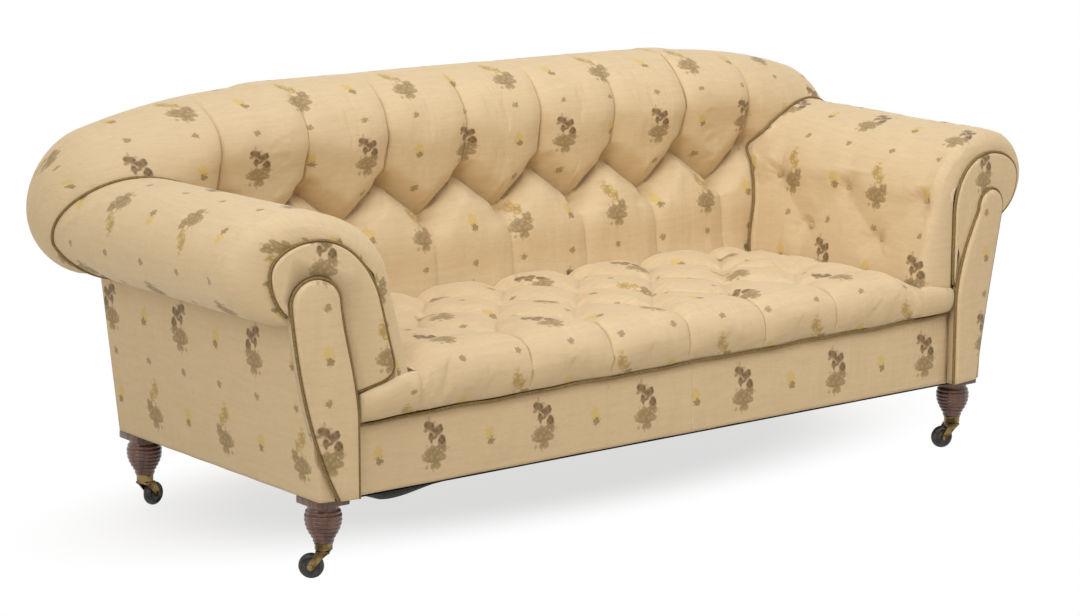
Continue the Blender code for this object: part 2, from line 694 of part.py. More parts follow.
def frame(wood):
    low, high = RAIL_UNDERSIDE, RAIL_TOP
    side_in, side_out = HALF - COVER - 2 * FIT - RAIL_THICKNESS, HALF - COVER - 2 * FIT
    post_foot = at_depth(BASE_DEPTH) - COVER - 0.004 - POST_DEPTH
    rail_back = at_depth(BASE_DEPTH) - COVER - 0.004
    foot = HALF - PANEL_FOOT_INSIDE
    box("front_seat_rail", (-foot + FIT, FRAME_FRONT, low), (foot - FIT, FRAME_BACK, high), wood)
    inner = POST_REACHES[0] - FIT
    box("back_seat_rail", (-inner, rail_back - RAIL_THICKNESS, low), (inner, rail_back, high), wood)
    box(
        "seat_cross_rail",
        (-RAIL_THICKNESS, FRAME_BACK + FIT, low),
        (RAIL_THICKNESS, rail_back - RAIL_THICKNESS - FIT, high - 0.03),
        wood,
    )
    for name, side in (("left", -1), ("right", 1)):
        x0, x1 = sorted((side * side_in, side * side_out))
        box(f"{name}_seat_rail", (x0, FRAME_BACK + FIT, low), (x1, post_foot - FIT, high), wood)
        x0, x1 = sorted(side * s for s in POST_REACHES)
        raked(f"{name}_back_post", (x0, post_foot, low), (x1, post_foot + POST_DEPTH, TOP_RAIL_UNDERSIDE - FIT), wood)
        under = arm_outline()[-1][1]
        head = CORE_OUTSIDE - 0.010
        board = [
            (foot, low),
            (side_out, low),
            (side_out + ARM_LEAN * (under - 0.0065 - low) - 0.0005, under - 0.0065),
            (arm_outline()[-1][0] - 0.0095, under + 0.007),
            (head, under + 0.050),
            (head, CORE_TOP - FIT),
            (CORE_INSIDE + 0.0355, CORE_TOP - FIT),
            (POST_INSIDE, CORE_TOP - 0.0355),
            (POST_INSIDE, ARM_BOTTOM),
            (foot, ARM_BOTTOM - 0.001),
        ]
        arm_board(f"{name}_front_post", board, side, FRAME_FRONT, FRAME_BACK, wood)
        rail_top = min(CORE_TOP, TOP_RAIL_UNDERSIDE) - FIT
        rail_low = rail_top - ARM_RAIL_HEIGHT
        x0, x1 = sorted(side * s for s in ARM_RAIL_REACHES)
        end = post_foot + BACK_RAKE * (rail_low - low) - 0.0005
        start = FRAME_BACK + splay(ARM_RAIL_REACHES[1]) + FIT
        box(f"{name}_arm_rail", (x0, start, rail_low), (x1, end, rail_top), wood)
        stay_low = ARM_BOTTOM - 0.040
        x0, x1 = sorted((side * (POST_INSIDE + 0.0045), side * (POST_INSIDE + 0.0445)))
        end = post_foot + BACK_RAKE * (stay_low - low) - 0.0005
        start = FRAME_BACK + splay(POST_INSIDE + 0.0445) + FIT
        box(f"{name}_arm_stay_rail", (x0, start, stay_low), (x1, end, ARM_BOTTOM - 0.0005), wood)
    rail_end = at_depth(outside_back_depth(TOP_RAIL_UNDERSIDE)) - COVER - 0.005
    box(
        "back_top_rail",
        (-POST_REACHES[1], rail_end - 0.090, TOP_RAIL_UNDERSIDE),
        (POST_REACHES[1], rail_end, TOP_RAIL_TOP),
        wood,
    )
    stay = POST_INSIDE + 0.004
    depth = at_depth(BACK_FOOT_DEPTH)
    stay_top = BACK_FOOT_HEIGHT - 0.0005
    box("back_stay_rail", (-stay, depth + 0.015, stay_top - 0.0295), (stay, depth + 0.075, stay_top), wood)
    raked(
        "back_strut",
        (-0.025, rail_back - RAIL_THICKNESS + 0.002, high + FIT),
        (0.025, rail_back - 0.003, TOP_RAIL_UNDERSIDE - FIT),
        wood,
    )


# Springing and underside


def webbing(finish):
    """Straps laid both ways across the underside of the rails, as one flat lattice."""
    reach = HALF - LEG_CAP - 0.012
    first, last = FRAME_FRONT + 0.004, at_depth(BASE_DEPTH) - COVER - 0.010

    def edges(start, end, straps):
        gap = (end - start - straps * WEB_WIDTH) / (straps + 1)
        lines = [start]
        for k in range(straps):
            lines.append(start + (k + 1) * gap + k * WEB_WIDTH)
            lines.append(lines[-1] + WEB_WIDTH)
        return lines + [end]

    across, along = edges(-reach, reach, 7), edges(first, last, 4)
    bm = bmesh.new()
    grid = [[bm.verts.new((x, y, LEG_TOP - WEBBING)) for y in along] for x in across]
    for i in range(len(across) - 1):
        for j in range(len(along) - 1):
            if i % 2 or j % 2:
                bm.faces.new((grid[i][j], grid[i + 1][j], grid[i + 1][j + 1], grid[i][j + 1]))
    bmesh.ops.delete(bm, geom=[v for v in bm.verts if not v.link_faces], context="VERTS")
    raised = bmesh.ops.extrude_face_region(bm, geom=bm.faces[:], use_keep_orig=True)
    bmesh.ops.translate(bm, vec=(0, 0, WEBBING), verts=[g for g in raised["geom"] if isinstance(g, bmesh.types.BMVert)])
    solid("seat_webbing", bm, finish)


def dust_cover(finish):
    """Thin cloth under the webbing, tacked at its edges and sagging most at the front left."""
    reach = HALF - LEG_CAP - 0.010
    first, last = FRAME_FRONT + 0.002, at_depth(BASE_DEPTH) - COVER - 0.008
    top = LEG_TOP - WEBBING - FIT
    across = between(-reach, -0.8 * reach, 5) + between(-0.7 * reach, reach, 9)
    columns = [(x, 1 - (x / reach) ** 2) for x in across]
    rings = []
    rows = ((0.0, 0.0), (0.04, 0.8), (0.1, 1.0), (0.25, 0.8), (0.5, 0.75), (0.8, 0.5), (1.0, 0.0))
    for y, share in [(first + t * (last - first), share) for t, share in rows]:
        upper, lower = [], []
        for x, hang in columns:
            low_left = math.exp(-(((x + 0.9 * reach) / 0.07) ** 2)) * min(1, 5 * hang) * max(0, 1 - (y - first) / 0.2)
            z = top - share * (0.010 * hang + 0.024 * low_left)
            upper.append((x, y, z))
            lower.append((x, y, z - CANVAS))
        rings.append(upper + lower[::-1])
    solid("dust_cover", skinned(rings), finish)


def spring_path(x, y):
    """An hourglass coil standing on the webbing, its end turns flat."""
    low, high = LEG_TOP + FIT + WIRE, RAIL_TOP - 2 * FIT - WIRE
    path = []
    for t in between(0, 1, 8 * SPRING_TURNS + 1):
        a = math.tau * SPRING_TURNS * t
        rise = min(max((t * SPRING_TURNS - 0.75) / (SPRING_TURNS - 1.5), 0), 1)
        r = SPRING_WAIST + (SPRING_RADIUS - SPRING_WAIST) * (2 * rise - 1) ** 2
        path.append((x + r * math.cos(a), y + r * math.sin(a), low + (high - low) * rise))
    return path


def spring_row(name, depth, steel):
    """A row of coils held by the twine that lashes their tops together."""
    y, top = at_depth(depth), RAIL_TOP - 2 * FIT - WIRE
    last = SPRING_REACHES[-1] + SPRING_RADIUS + 0.015
    twine = [(x, y + 0.004, top) for x in between(-last, last, 3)]
    row = solid(name, tube(twine, 0.0016, 6, (0, 0, 1)), steel)
    for i, x in enumerate(SPRING_REACHES):
        coil = solid(f"{name}_coil_{i}", tube(spring_path(x, y), WIRE, 4, (0, 0, 1)), None)
        combine(row, coil, "UNION")


# Legs and castors


def leg(name, x, y, wood):
    """A short turned leg with reeds round its body, under a square cap."""
    neck = LEG_FOOT + 0.0155
    shoulder = LEG_TOP - LEG_CAP_HEIGHT - 0.010
    profile = [
        (0, LEG_FOOT),
        (LEG_FOOT_RADIUS, LEG_FOOT),
        (LEG_FOOT_RADIUS, CUP_RIM + FIT),
        (0.55 * LEG_RADIUS, CUP_RIM + FIT),
        (0.57 * LEG_RADIUS, CUP_RIM + 0.004),
        (0.50 * LEG_RADIUS, neck),
    ]
    reeds = 5
    for k in range(reeds):
        low = neck + (shoulder - neck) * k / reeds
        high = neck + (shoulder - neck) * (k + 1) / reeds
        wide = LEG_RADIUS * (0.68 + 0.32 * math.sin(math.pi / 2 * min((k + 1.2) / 3.6, 1)))
        profile += [(wide - 0.0022, low + 0.0008), (wide, (low + high) / 2), (wide - 0.0022, high - 0.0008)]
    profile += [(0.80 * LEG_RADIUS, shoulder + 0.004), (0.86 * LEG_RADIUS, LEG_TOP - 0.004), (0, LEG_TOP - 0.004)]
    made = solid(name, turned(profile, 16), wood)
    made.location = (x, y, 0)
    half = LEG_CAP / 2 - FIT
    low = (x - half, y - half, LEG_TOP - LEG_CAP_HEIGHT)
    combine(made, box(f"{name}_cap", low, (x + half, y + half, LEG_TOP), None), "UNION")


def castor(name, x, y, brass, dark):
    """Cup on the leg's foot, a fork that swivels under it, an axle and a wheel behind the swivel axis."""
    turn = Matrix.Translation((x, y, 0)) @ Matrix.Rotation(math.radians(CASTOR_TURNS[name]), 4, "Z")
    bore = LEG_FOOT_RADIUS + FIT
    wall = bore + 0.0016
    cup = [(0.0046, CUP_UNDERSIDE), (wall - 0.002, CUP_UNDERSIDE), (wall, CUP_UNDERSIDE + 0.0015), (wall, CUP_RIM - 0.003)]
    cup += [(wall + 0.001, CUP_RIM - 0.002), (wall + 0.001, CUP_RIM), (bore, CUP_RIM), (bore, CUP_FLOOR), (0.0046, CUP_FLOOR)]
    made = solid(f"{name}_castor_cup", turned(cup, 16, closed=True), brass)
    made.location = (x, y, 0)

    cheek = WHEEL_WIDTH / 2 + 0.0018
    plate = 0.0030
    base = FORK_CROWN
    fork = box(f"{name}_castor_fork", (-0.011, -cheek - 0.0022, base), (0.013, cheek + 0.0022, FORK_TOP), brass)
    fork.matrix_world = turn
    horn = [(-0.010, base + 0.0005), (-0.010, FORK_TOP - 0.0006), (0.012, FORK_TOP - 0.0006)]
    horn += arc((TRAIL, WHEEL_RADIUS), (0.006, 0.006), 50, -150, 7) + [(-0.002, base - 0.006)]
    for tag, low in (("a", cheek), ("b", -cheek - plate)):
        part = prism(f"{name}_horn_{tag}", horn, low, low + plate, None)
        part.matrix_world = turn
        combine(fork, part, "UNION")
    pin = [(0, base + 0.001), (0.004, base + 0.001), (0.004, PIN_HEAD), (0.008, PIN_HEAD), (0.008, PIN_HEAD + 0.0032)]
    stem = solid(f"{name}_pin", turned(pin + [(0, PIN_HEAD + 0.0032)], 12), None)
    stem.matrix_world = turn
    combine(fork, stem, "UNION")
    across = Matrix.Translation((TRAIL, 0, WHEEL_RADIUS)) @ Matrix.Rotation(math.pi / 2, 4, "X")
    long = cheek + 0.01
    hole = [(0, -long), (AXLE_RADIUS + FIT, -long), (AXLE_RADIUS + FIT, long), (0, long)]
    drill = solid(f"{name}_drill", turned(hole, 12), None)
    drill.matrix_world = turn @ across
    combine(fork, drill, "DIFFERENCE")

    out = cheek + plate + FIT
    pin = [(AXLE_RADIUS, -out), (AXLE_RADIUS, out), (0.0048, out), (0.0048, out + 0.0018), (0, out + 0.0026)]
    pin = [(0, -out - 0.0026), (0.0048, -out - 0.0018), (0.0048, -out)] + pin
    axle = solid(f"{name}_castor_axle", turned(pin, 12), brass)
    axle.matrix_world = turn @ across

    half, sides = WHEEL_WIDTH / 2, 20
    rim = WHEEL_RADIUS / math.cos(math.pi / sides)
    bore = AXLE_RADIUS + 0.0004
    tread = [(bore, -half), (0.62 * rim, -half), (0.90 * rim, -0.80 * half), (rim, -0.45 * half)]
    tread += [(r, -h) for r, h in reversed(tread)]
    wheel = solid(f"{name}_castor_wheel", turned(tread, sides, closed=True), dark)
    wheel.matrix_world = turn @ across @ Matrix.Rotation(math.pi / 2 - math.pi / sides, 4, "Z")


def main():
    for old in list(bpy.data.objects):
        bpy.data.objects.remove(old)
    bpy.context.scene.unit_settings.system = "METRIC"
    cloth = material("floral_cloth", (0.66, 0.50, 0.30), 0.85)
    piping = material("olive_piping", (0.12, 0.085, 0.035), 0.8)
    beech = material("beech_frame", (0.50, 0.36, 0.20), 0.6)
    mahogany = material("mahogany_leg", (0.10, 0.035, 0.016), 0.35)
    brass = material("brass_castor", (0.45, 0.30, 0.11), 0.4, 1.0)
    wheel = material("castor_wheel", (0.03, 0.018, 0.012), 0.4)
    jute = material("jute_webbing", (0.42, 0.30, 0.16), 0.9)
    steel = material("spring_steel", (0.35, 0.34, 0.33), 0.4, 1.0)
    black = material("black_linen", (0.012, 0.011, 0.011), 0.9)

    frame(beech)
    webbing(jute)
    dust_cover(black)
    for name, depth in SPRING_DEPTHS.items():
        spring_row(f"{name}_springs", depth, steel)
    edge = POST_INSIDE - 0.001
    back = at_depth(slab_depth(CANVAS_TOP)) - 0.002
    box("spring_canvas", (-edge, FRAME_FRONT + 0.002, RAIL_TOP + FIT), (edge, back, CANVAS_TOP), jute)
    seat_pad(cloth)
    cutters = back_cutters(back_pad(cloth))
    front_border(cloth, piping)
    outside_back(cloth)
    for name, side in (("left", -1), ("right", 1)):
        arm_pad(f"{name}_arm_pad", side, cutters, cloth)
        cutter = arm_trim(name, side, cloth, piping)
        outside_arm(f"{name}_outside_arm", side, cutter, cloth)
    for across, side in (("left", -1), ("right", 1)):
        for end, y in (("front", FRONT + LEG_INSET + 0.006), ("back", at_depth(BASE_DEPTH) - LEG_INSET)):
            name = f"{end}_{across}"
            x = side * (HALF - LEG_INSET)
            leg(f"{name}_leg", x, y, mahogany)
            castor(name, x, y, brass, wheel)


main()
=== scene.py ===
"""Finished look of a buttoned sofa with rolled back and arms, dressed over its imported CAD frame.

Metres, +Z up, front towards -Y, as in the CAD. A depth runs backwards from the front cover, a reach runs
outwards from the middle and a height runs up from the floor. Left and right are as seen from the front.
"""

import logging
import math
from dataclasses import dataclass, field, replace
from enum import Enum
from typing import ClassVar, Sequence

import bmesh
import bpy
import numpy as np
from mathutils import Matrix, Vector


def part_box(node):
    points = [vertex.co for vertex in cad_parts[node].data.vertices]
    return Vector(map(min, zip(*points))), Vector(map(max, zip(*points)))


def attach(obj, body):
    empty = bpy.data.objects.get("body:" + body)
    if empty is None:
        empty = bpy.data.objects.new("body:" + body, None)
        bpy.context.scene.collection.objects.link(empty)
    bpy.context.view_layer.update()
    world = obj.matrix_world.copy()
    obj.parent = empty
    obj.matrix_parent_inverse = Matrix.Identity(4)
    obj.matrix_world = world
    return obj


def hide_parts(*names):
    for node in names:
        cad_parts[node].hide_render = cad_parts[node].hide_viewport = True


LOG = logging.getLogger("sofa")
Array = np.ndarray
Value = np.ndarray | float
Pair = tuple[float, float]
Triple = tuple[float, float, float]
Pleat = tuple[Pair, float]
Mesh = bmesh.types.BMesh
Socket = bpy.types.NodeSocket
Material = bpy.types.Material

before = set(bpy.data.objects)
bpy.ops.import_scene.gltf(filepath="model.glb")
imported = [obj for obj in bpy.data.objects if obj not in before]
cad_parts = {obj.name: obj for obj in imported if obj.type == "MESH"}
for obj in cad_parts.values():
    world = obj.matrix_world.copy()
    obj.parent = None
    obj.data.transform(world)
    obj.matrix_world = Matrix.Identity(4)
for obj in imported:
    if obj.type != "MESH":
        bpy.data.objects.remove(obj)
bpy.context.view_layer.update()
BODY = "sofa"

# Material slots of the record that several pieces share
CLOTH = "floral_cloth"
CORD = "olive_piping"
BEECH = "beech_frame"

# Names of layers on the meshes
CLOTH_MAP = "cloth"
HELD = "held"
PLAIN = "plain"

# How firmly cushions and tacked covers are stuffed
SOFT = 0.8
FIRM = 0.9

# Share of a pitch within which two buttons are neighbours, and the smallest lengths that count
NEIGHBOUR = 0.6
WELD = 1e-5
TINY = 1e-9


# Plain maths


def smooth(value: Value) -> Value:
    """Eases a value between 0 and 1."""
    t = np.clip(value, 0.0, 1.0)
    return t * t * (3 - 2 * t)


def mix(first: Value, last: Value, share: Value) -> Value:
    """Blends two values."""
    return first + (last - first) * share


def bezier(corners: Sequence[Pair], count: int) -> Array:
    """Points along a cubic curve in a plane.

    Args:
        corners: Start, two handles and end.
        count: How many points.

    Returns:
        Points as rows.
    """
    t = np.linspace(0, 1, count)[:, None]
    a, b, c, d = (np.array(corner) for corner in corners)
    return (1 - t) ** 3 * a + 3 * t * (1 - t) ** 2 * b + 3 * t * t * (1 - t) * c + t**3 * d


def arc(centre: Pair, radii: Pair, first: float, last: float, count: int) -> Array:
    """Points on an ellipse in a plane."""
    a = np.radians(np.linspace(first, last, count))
    return np.stack([centre[0] + radii[0] * np.cos(a), centre[1] + radii[1] * np.sin(a)], -1)


def lengths(line: Array) -> Array:
    """Length along a line at each of its points."""
    steps = np.linalg.norm(np.diff(line, axis=0), axis=1)
    return np.concatenate([[0.0], np.cumsum(steps)])


def spaced(line: Array, count: int) -> Array:
    """The same line with evenly spaced points.

    Args:
        line: Points as rows.
        count: How many points.

    Returns:
        Points as rows.
    """
    along = lengths(line)
    at = np.linspace(0, along[-1], count)
    return np.stack([np.interp(at, along, line[:, k]) for k in range(line.shape[1])], -1)


def gathered(
    half: float, count: int, pitch: float, share: float, start: float = 0.0, margin: float = 0.02
) -> Array:
    """Places along a line about its middle, drawn together at every pitch except near its ends.

    Args:
        half: Half the line's length.
        count: How many places.
        pitch: From one gathering to the next.
        share: How closely they are drawn together, from 0 to 1.
        start: One of the gatherings.
        margin: How much of each end is left even.

    Returns:
        The places.
    """
    t = np.linspace(-half, half, count)
    kept = share * smooth((half - margin - np.abs(t)) / pitch)
    return t - kept * pitch / math.tau * np.sin(math.tau * (t - start) / pitch)


def moved_in(line: Array, distance: Value) -> Array:
    """A plane line moved to its right.

    Args:
        line: Points as rows.
        distance: How far, for all points or for each.

    Returns:
        The moved points.
    """
    along = np.gradient(line, axis=0)
    along /= np.linalg.norm(along, axis=1)[:, None]
    return line + np.stack([along[:, 1], -along[:, 0]], -1) * np.reshape(distance, (-1, 1))


def normals(places: Array) -> Array:
    """Unit normals of a grid of places.

    Args:
        places: Sections by points round each by 3.

    Returns:
        An array of the same shape.
    """
    found = np.cross(np.gradient(places, axis=0), np.gradient(places, axis=1))
    size = np.linalg.norm(found, axis=2)[..., None]
    return found / np.maximum(size, TINY)


# Shader building


class Wire:
    """A shader value that is written as plain arithmetic."""

    def __init__(self, shader: "Shader", socket: Socket) -> None:
        """Keeps an output socket with one number and the shader that it is in."""
        self.shader = shader
        self.socket = socket

    def _do(self, operation: str, first: "Wire | float", second: "Wire | float" = 0.0) -> "Wire":
        """Returns: the outcome of one operation on two values."""
        made = self.shader.node("ShaderNodeMath", {"operation": operation}, {0: first, 1: second})
        return Wire(self.shader, made.outputs[0])

    def __add__(self, other: "Wire | float") -> "Wire":
        """Returns: the sum."""
        return self._do("ADD", self, other)

    def __sub__(self, other: "Wire | float") -> "Wire":
        """Returns: the difference."""
        return self._do("SUBTRACT", self, other)

    def __rsub__(self, other: float) -> "Wire":
        """Returns: a plain number less this."""
        return self._do("SUBTRACT", other, self)

    def __mul__(self, other: "Wire | float") -> "Wire":
        """Returns: the product."""
        return self._do("MULTIPLY", self, other)

    def __truediv__(self, other: "Wire | float") -> "Wire":
        """Returns: the quotient."""
        return self._do("DIVIDE", self, other)

    def floor(self) -> "Wire":
        """Returns: the whole number below."""
        return self._do("FLOOR", self)

    def fraction(self) -> "Wire":
        """Returns: what is left above the whole number below."""
        return self._do("FRACT", self)

    def most(self, other: "Wire | float") -> "Wire":
        """Returns: the larger of two values."""
        return self._do("MAXIMUM", self, other)

    def ramp(self, low: float, high: float) -> "Wire":
        """Eases from 0 at one value to 1 at another.

        Args:
            low: Value that gives 0.
            high: Value that gives 1.

        Returns:
            The eased value.
        """
        made = self.shader.node(
            "ShaderNodeMapRange",
            {"interpolation_type": "SMOOTHSTEP"},
            {"Value": self, "From Min": low, "From Max": high},
        )
        return Wire(self.shader, made.outputs[0])


class Shader:
    """The shader of a material or of the surround, under construction."""

    def __init__(self, owner: "Material | bpy.types.World", end: str = "Principled BSDF") -> None:
        """Starts a shader.

        Args:
            owner: What it is for.
            end: Name of the node that gives its light.
        """
        owner.use_nodes = True
        self.owner = owner
        self.tree = owner.node_tree
        self.surface = self.tree.nodes[end]

    def node(
        self, kind: str, settings: dict[str, object], sockets: dict[str | int, object]
    ) -> bpy.types.Node:
        """Adds a node.

        Args:
            kind: Node type.
            settings: Its own settings, set first.
            sockets: Values, sockets or wires for its inputs.

        Returns:
            The node.
        """
        made = self.tree.nodes.new(kind)
        for key, value in settings.items():
            setattr(made, key, value)
        for key, value in sockets.items():
            self.join(made.inputs[key], value)
        return made

    def join(self, target: Socket, value: object) -> None:
        """Sets or links an input.

        Args:
            target: The input.
            value: A plain value, an output socket or a wire.
        """
        if isinstance(value, Wire):
            value = value.socket
        if isinstance(value, Socket):
            self.tree.links.new(value, target)
        else:
            target.default_value = value

    def paired(self, across: Wire, up: Wire) -> Socket:
        """Returns: two values as a vector."""
        return self.node("ShaderNodeCombineXYZ", {}, {0: across, 1: up}).outputs[0]

    def length(self, vector: Socket) -> Wire:
        """Returns: the length of a vector."""
        made = self.node("ShaderNodeVectorMath", {"operation": "LENGTH"}, {0: vector})
        return Wire(self, made.outputs["Value"])

    def petals(self, place: Socket, scale: float) -> Wire:
        """A pattern that is low on petals and high between them.

        Args:
            place: Where on the cloth.
            scale: How many petals there are to a metre.

        Returns:
            The pattern.
        """
        flat = {"voronoi_dimensions": "2D"}
        made = self.node("ShaderNodeTexVoronoi", flat, {"Vector": place, "Scale": scale})
        return Wire(self, made.outputs["Distance"])

    def seen(self) -> Wire:
        """Returns: 1 for what the camera sees, mirrored or not, and 0 for the light that falls on things."""
        rays = self.node("ShaderNodeLightPath", {}, {}).outputs
        found = Wire(self, rays["Is Camera Ray"])
        for other in ("Is Glossy Ray", "Is Transmission Ray"):
            found = found.most(Wire(self, rays[other]))
        return found

    def blend(self, share: Wire, first: object, last: object) -> Socket:
        """Mixes two colours.

        Args:
            share: How much of the last one.
            first: A colour or a socket.
            last: A colour or a socket.

        Returns:
            The colour socket.
        """
        made = self.node("ShaderNodeMix", {"data_type": "RGBA"}, {0: share})
        for key, value in ((6, first), (7, last)):
            self.join(made.inputs[key], (*value, 1) if isinstance(value, tuple) else value)
        return made.outputs[2]

    def spots(self, vector: object, scale: float, detail: float = 2.0) -> Wire:
        """Cloudy noise."""
        made = self.node("ShaderNodeTexNoise", {}, {"Vector": vector, "Scale": scale, "Detail": detail})
        return Wire(self, made.outputs[0])

    def stretched(self, vector: object, stretch: Triple) -> Socket:
        """Scales a vector."""
        made = self.node("ShaderNodeVectorMath", {"operation": "MULTIPLY"}, {0: vector, 1: stretch})
        return made.outputs[0]

    def relief(self, height: Wire, depth: float) -> None:
        """Gives the surface a fine relief."""
        made = self.node("ShaderNodeBump", {}, {"Height": height, "Distance": depth, "Strength": 1.0})
        self.join(self.surface.inputs["Normal"], made.outputs[0])

    def finish(self, **inputs: object) -> "Material | bpy.types.World":
        """Sets the node at the end.

        Args:
            **inputs: Its inputs by name, with _ for a space.

        Returns:
            What the shader is for.
        """
        for key, value in inputs.items():
            self.join(self.surface.inputs[key.replace("_", " ")], value)
        return self.owner


# Finishes


@dataclass(frozen=True)
class NoiseFinish:
    """A finish of two colours, mixed by cloudy noise that may be stretched into a grain."""

    name: str
    dark: Triple
    light: Triple
    scale: float
    stretch: Triple = (1.0, 1.0, 1.0)
    roughness: Pair = (0.4, 0.6)
    metallic: float = 0.0
    coat: float = 0.0
    relief: float = 0.0002
    detail: float = 5.0
    contrast: Pair = (0.32, 0.68)

    def make(self) -> Material:
        """Returns: the material."""
        shader = Shader(bpy.data.materials.new(self.name))
        place = shader.node("ShaderNodeTexCoord", {}, {}).outputs["Object"]
        grain = shader.spots(shader.stretched(place, self.stretch), self.scale, self.detail)
        share = grain.ramp(*self.contrast)
        low, high = self.roughness
        shader.relief(grain, self.relief)
        return shader.finish(
            Base_Color=shader.blend(share, self.dark, self.light),
            Roughness=share * (low - high) + high,
            Metallic=self.metallic,
            Coat_Weight=self.coat,
        )


@dataclass(frozen=True)
class Blob:
    """One oval of a sprig, about the sprig's middle."""

    centre: Pair
    radii: Pair
    turn: float = 0.0


@dataclass(frozen=True)
class SprigCloth:
    """Cream furnishing cloth with woven sprigs in rows, each row set half a repeat over from the last."""

    name: str = "sprig_cloth"
    repeat: float = 0.240
    row: float = 0.165
    size: float = 1.15
    shade: Triple = (0.590, 0.444, 0.258)
    ground: Triple = (0.672, 0.518, 0.318)
    umber: Triple = (0.105, 0.056, 0.020)
    brown: Triple = (0.215, 0.128, 0.052)
    olive: Triple = (0.240, 0.158, 0.060)
    grey: Triple = (0.370, 0.257, 0.112)
    gold: Triple = (0.620, 0.440, 0.125)
    ochre: Triple = (0.360, 0.225, 0.050)
    speck: Triple = (0.270, 0.175, 0.080)
    heads: tuple[Blob, ...] = (
        Blob((-0.009, 0.031), (0.0115, 0.0130), 0.45),
        Blob((0.007, 0.021), (0.0110, 0.0120), -0.25),
        Blob((-0.006, 0.013), (0.0070, 0.0080), 0.0),
        Blob((0.014, 0.008), (0.0070, 0.0090), 0.3),
    )
    plume: tuple[Blob, ...] = (
        Blob((-0.008, 0.027), (0.0110, 0.0190), 0.20),
        Blob((0.004, 0.014), (0.0080, 0.0110), -0.5),
    )
    cluster: tuple[Blob, ...] = (
        Blob((0.001, -0.018), (0.0240, 0.0210), 0.2),
        Blob((0.014, -0.003), (0.0110, 0.0100), 0.0),
    )
    bud: tuple[Blob, ...] = (Blob((0.0, 0.003), (0.0100, 0.0130), 0.25),)
    calyx: tuple[Blob, ...] = (Blob((0.003, -0.009), (0.0075, 0.0070)),)
    dot: tuple[Blob, ...] = (Blob((0.0, 0.0), (0.0068, 0.0062), 0.4),)
    ragged: float = 0.85
    petal_edge: float = 0.42
    oval_edge: Pair = (1.08, 0.64)
    leaf_scale: float = 95.0
    seed_scale: float = 170.0
    weave: Triple = (60.0, 900.0, 1.0)
    slub: Triple = (14.0, 110.0, 1.0)
    crease: Triple = (26.0, 9.0, 1.0)
    crease_depth: float = 0.006
    weave_share: float = 0.042

    def _inside(self, shader: Shader, place: Socket, blobs: Sequence[Blob], petal: Wire) -> Wire:
        """How far inside any of some ragged ovals a place is.

        Args:
            shader: The shader.
            place: Place about the sprig's middle.
            blobs: The ovals.
            petal: A value that is low on petals and high between them.

        Returns:
            1 inside and 0 outside.
        """
        shares = []
        for blob in blobs:
            centre, radii = (tuple(self.size * value for value in pair) for pair in (blob.centre, blob.radii))
            oval = {"Location": (*centre, 0), "Rotation": (0, 0, blob.turn), "Scale": (*radii, 1)}
            turned = shader.node("ShaderNodeMapping", {"vector_type": "TEXTURE"}, {"Vector": place, **oval})
            far = shader.length(turned.outputs[0]) + (petal - self.petal_edge) * self.ragged
            shares.append(far.ramp(*self.oval_edge))
        most = shares[0]
        for share in shares[1:]:
            most = most.most(share)
        return most

    def make(self) -> Material:
        """Returns: the material."""
        shader = Shader(bpy.data.materials.new(self.name))
        place = shader.node("ShaderNodeUVMap", {"uv_map": CLOTH_MAP}, {}).outputs[0]
        parts = shader.node("ShaderNodeSeparateXYZ", {}, {0: place})
        u, v = Wire(shader, parts.outputs[0]), Wire(shader, parts.outputs[1])
        row = (v / self.row + 0.5).floor()
        odd = (row * 0.5).fraction() * 2.0
        step = u / self.repeat + odd * 0.5
        height = v - row * self.row
        between = (v / self.row).fraction() * self.row - self.row / 2
        big = shader.paired(((step + 0.5).fraction() - 0.5) * self.repeat, height)
        small = shader.paired((step.fraction() - 0.5) * self.repeat, height)
        tiny = shader.paired(((u * 2.0 / self.repeat + 0.5).fraction() - 0.5) * (self.repeat / 2), between)
        leaf, seed = shader.petals(big, self.leaf_scale), shader.petals(place, self.seed_scale)
        tone = leaf.ramp(0.05, 0.50)
        plain = shader.node("ShaderNodeAttribute", {"attribute_name": PLAIN}, {}).outputs["Fac"]
        flat = 1.0 - Wire(shader, plain)
        weave, slub, crease = (
            shader.spots(shader.stretched(place, stretch), 1.0, detail)
            for stretch, detail in ((self.weave, 2.0), (self.slub, 2.0), (self.crease, 3.0))
        )
        cloth = shader.blend((weave * 0.6 + slub * 0.4).ramp(0.20, 0.70), self.shade, self.ground)
        dark, pale, yellow = (
            shader.blend(tone, first, last)
            for first, last in ((self.umber, self.brown), (self.grey, self.olive), (self.gold, self.ochre))
        )
        motifs = (
            (big, self.cluster, leaf, flat * 0.85, pale),
            (big, self.heads, leaf * 0.85 + 0.09, (1.0 - odd) * flat * 0.90, dark),
            (big, self.plume, leaf, odd * flat * 0.75, yellow),
            (small, self.bud, seed, flat * 0.75, self.gold),
            (small, self.calyx, seed, flat * 0.80, self.olive),
            (tiny, self.dot, seed, flat * 0.75, self.speck),
        )
        for where, blobs, petal, strength, colour in motifs:
            cloth = shader.blend(self._inside(shader, where, blobs, petal) * strength, cloth, colour)
        shader.relief(weave * self.weave_share + crease, self.crease_depth)
        return shader.finish(
            Base_Color=cloth, Roughness=weave * 0.15 + 0.62, Sheen_Weight=0.15, Sheen_Roughness=0.4
        )


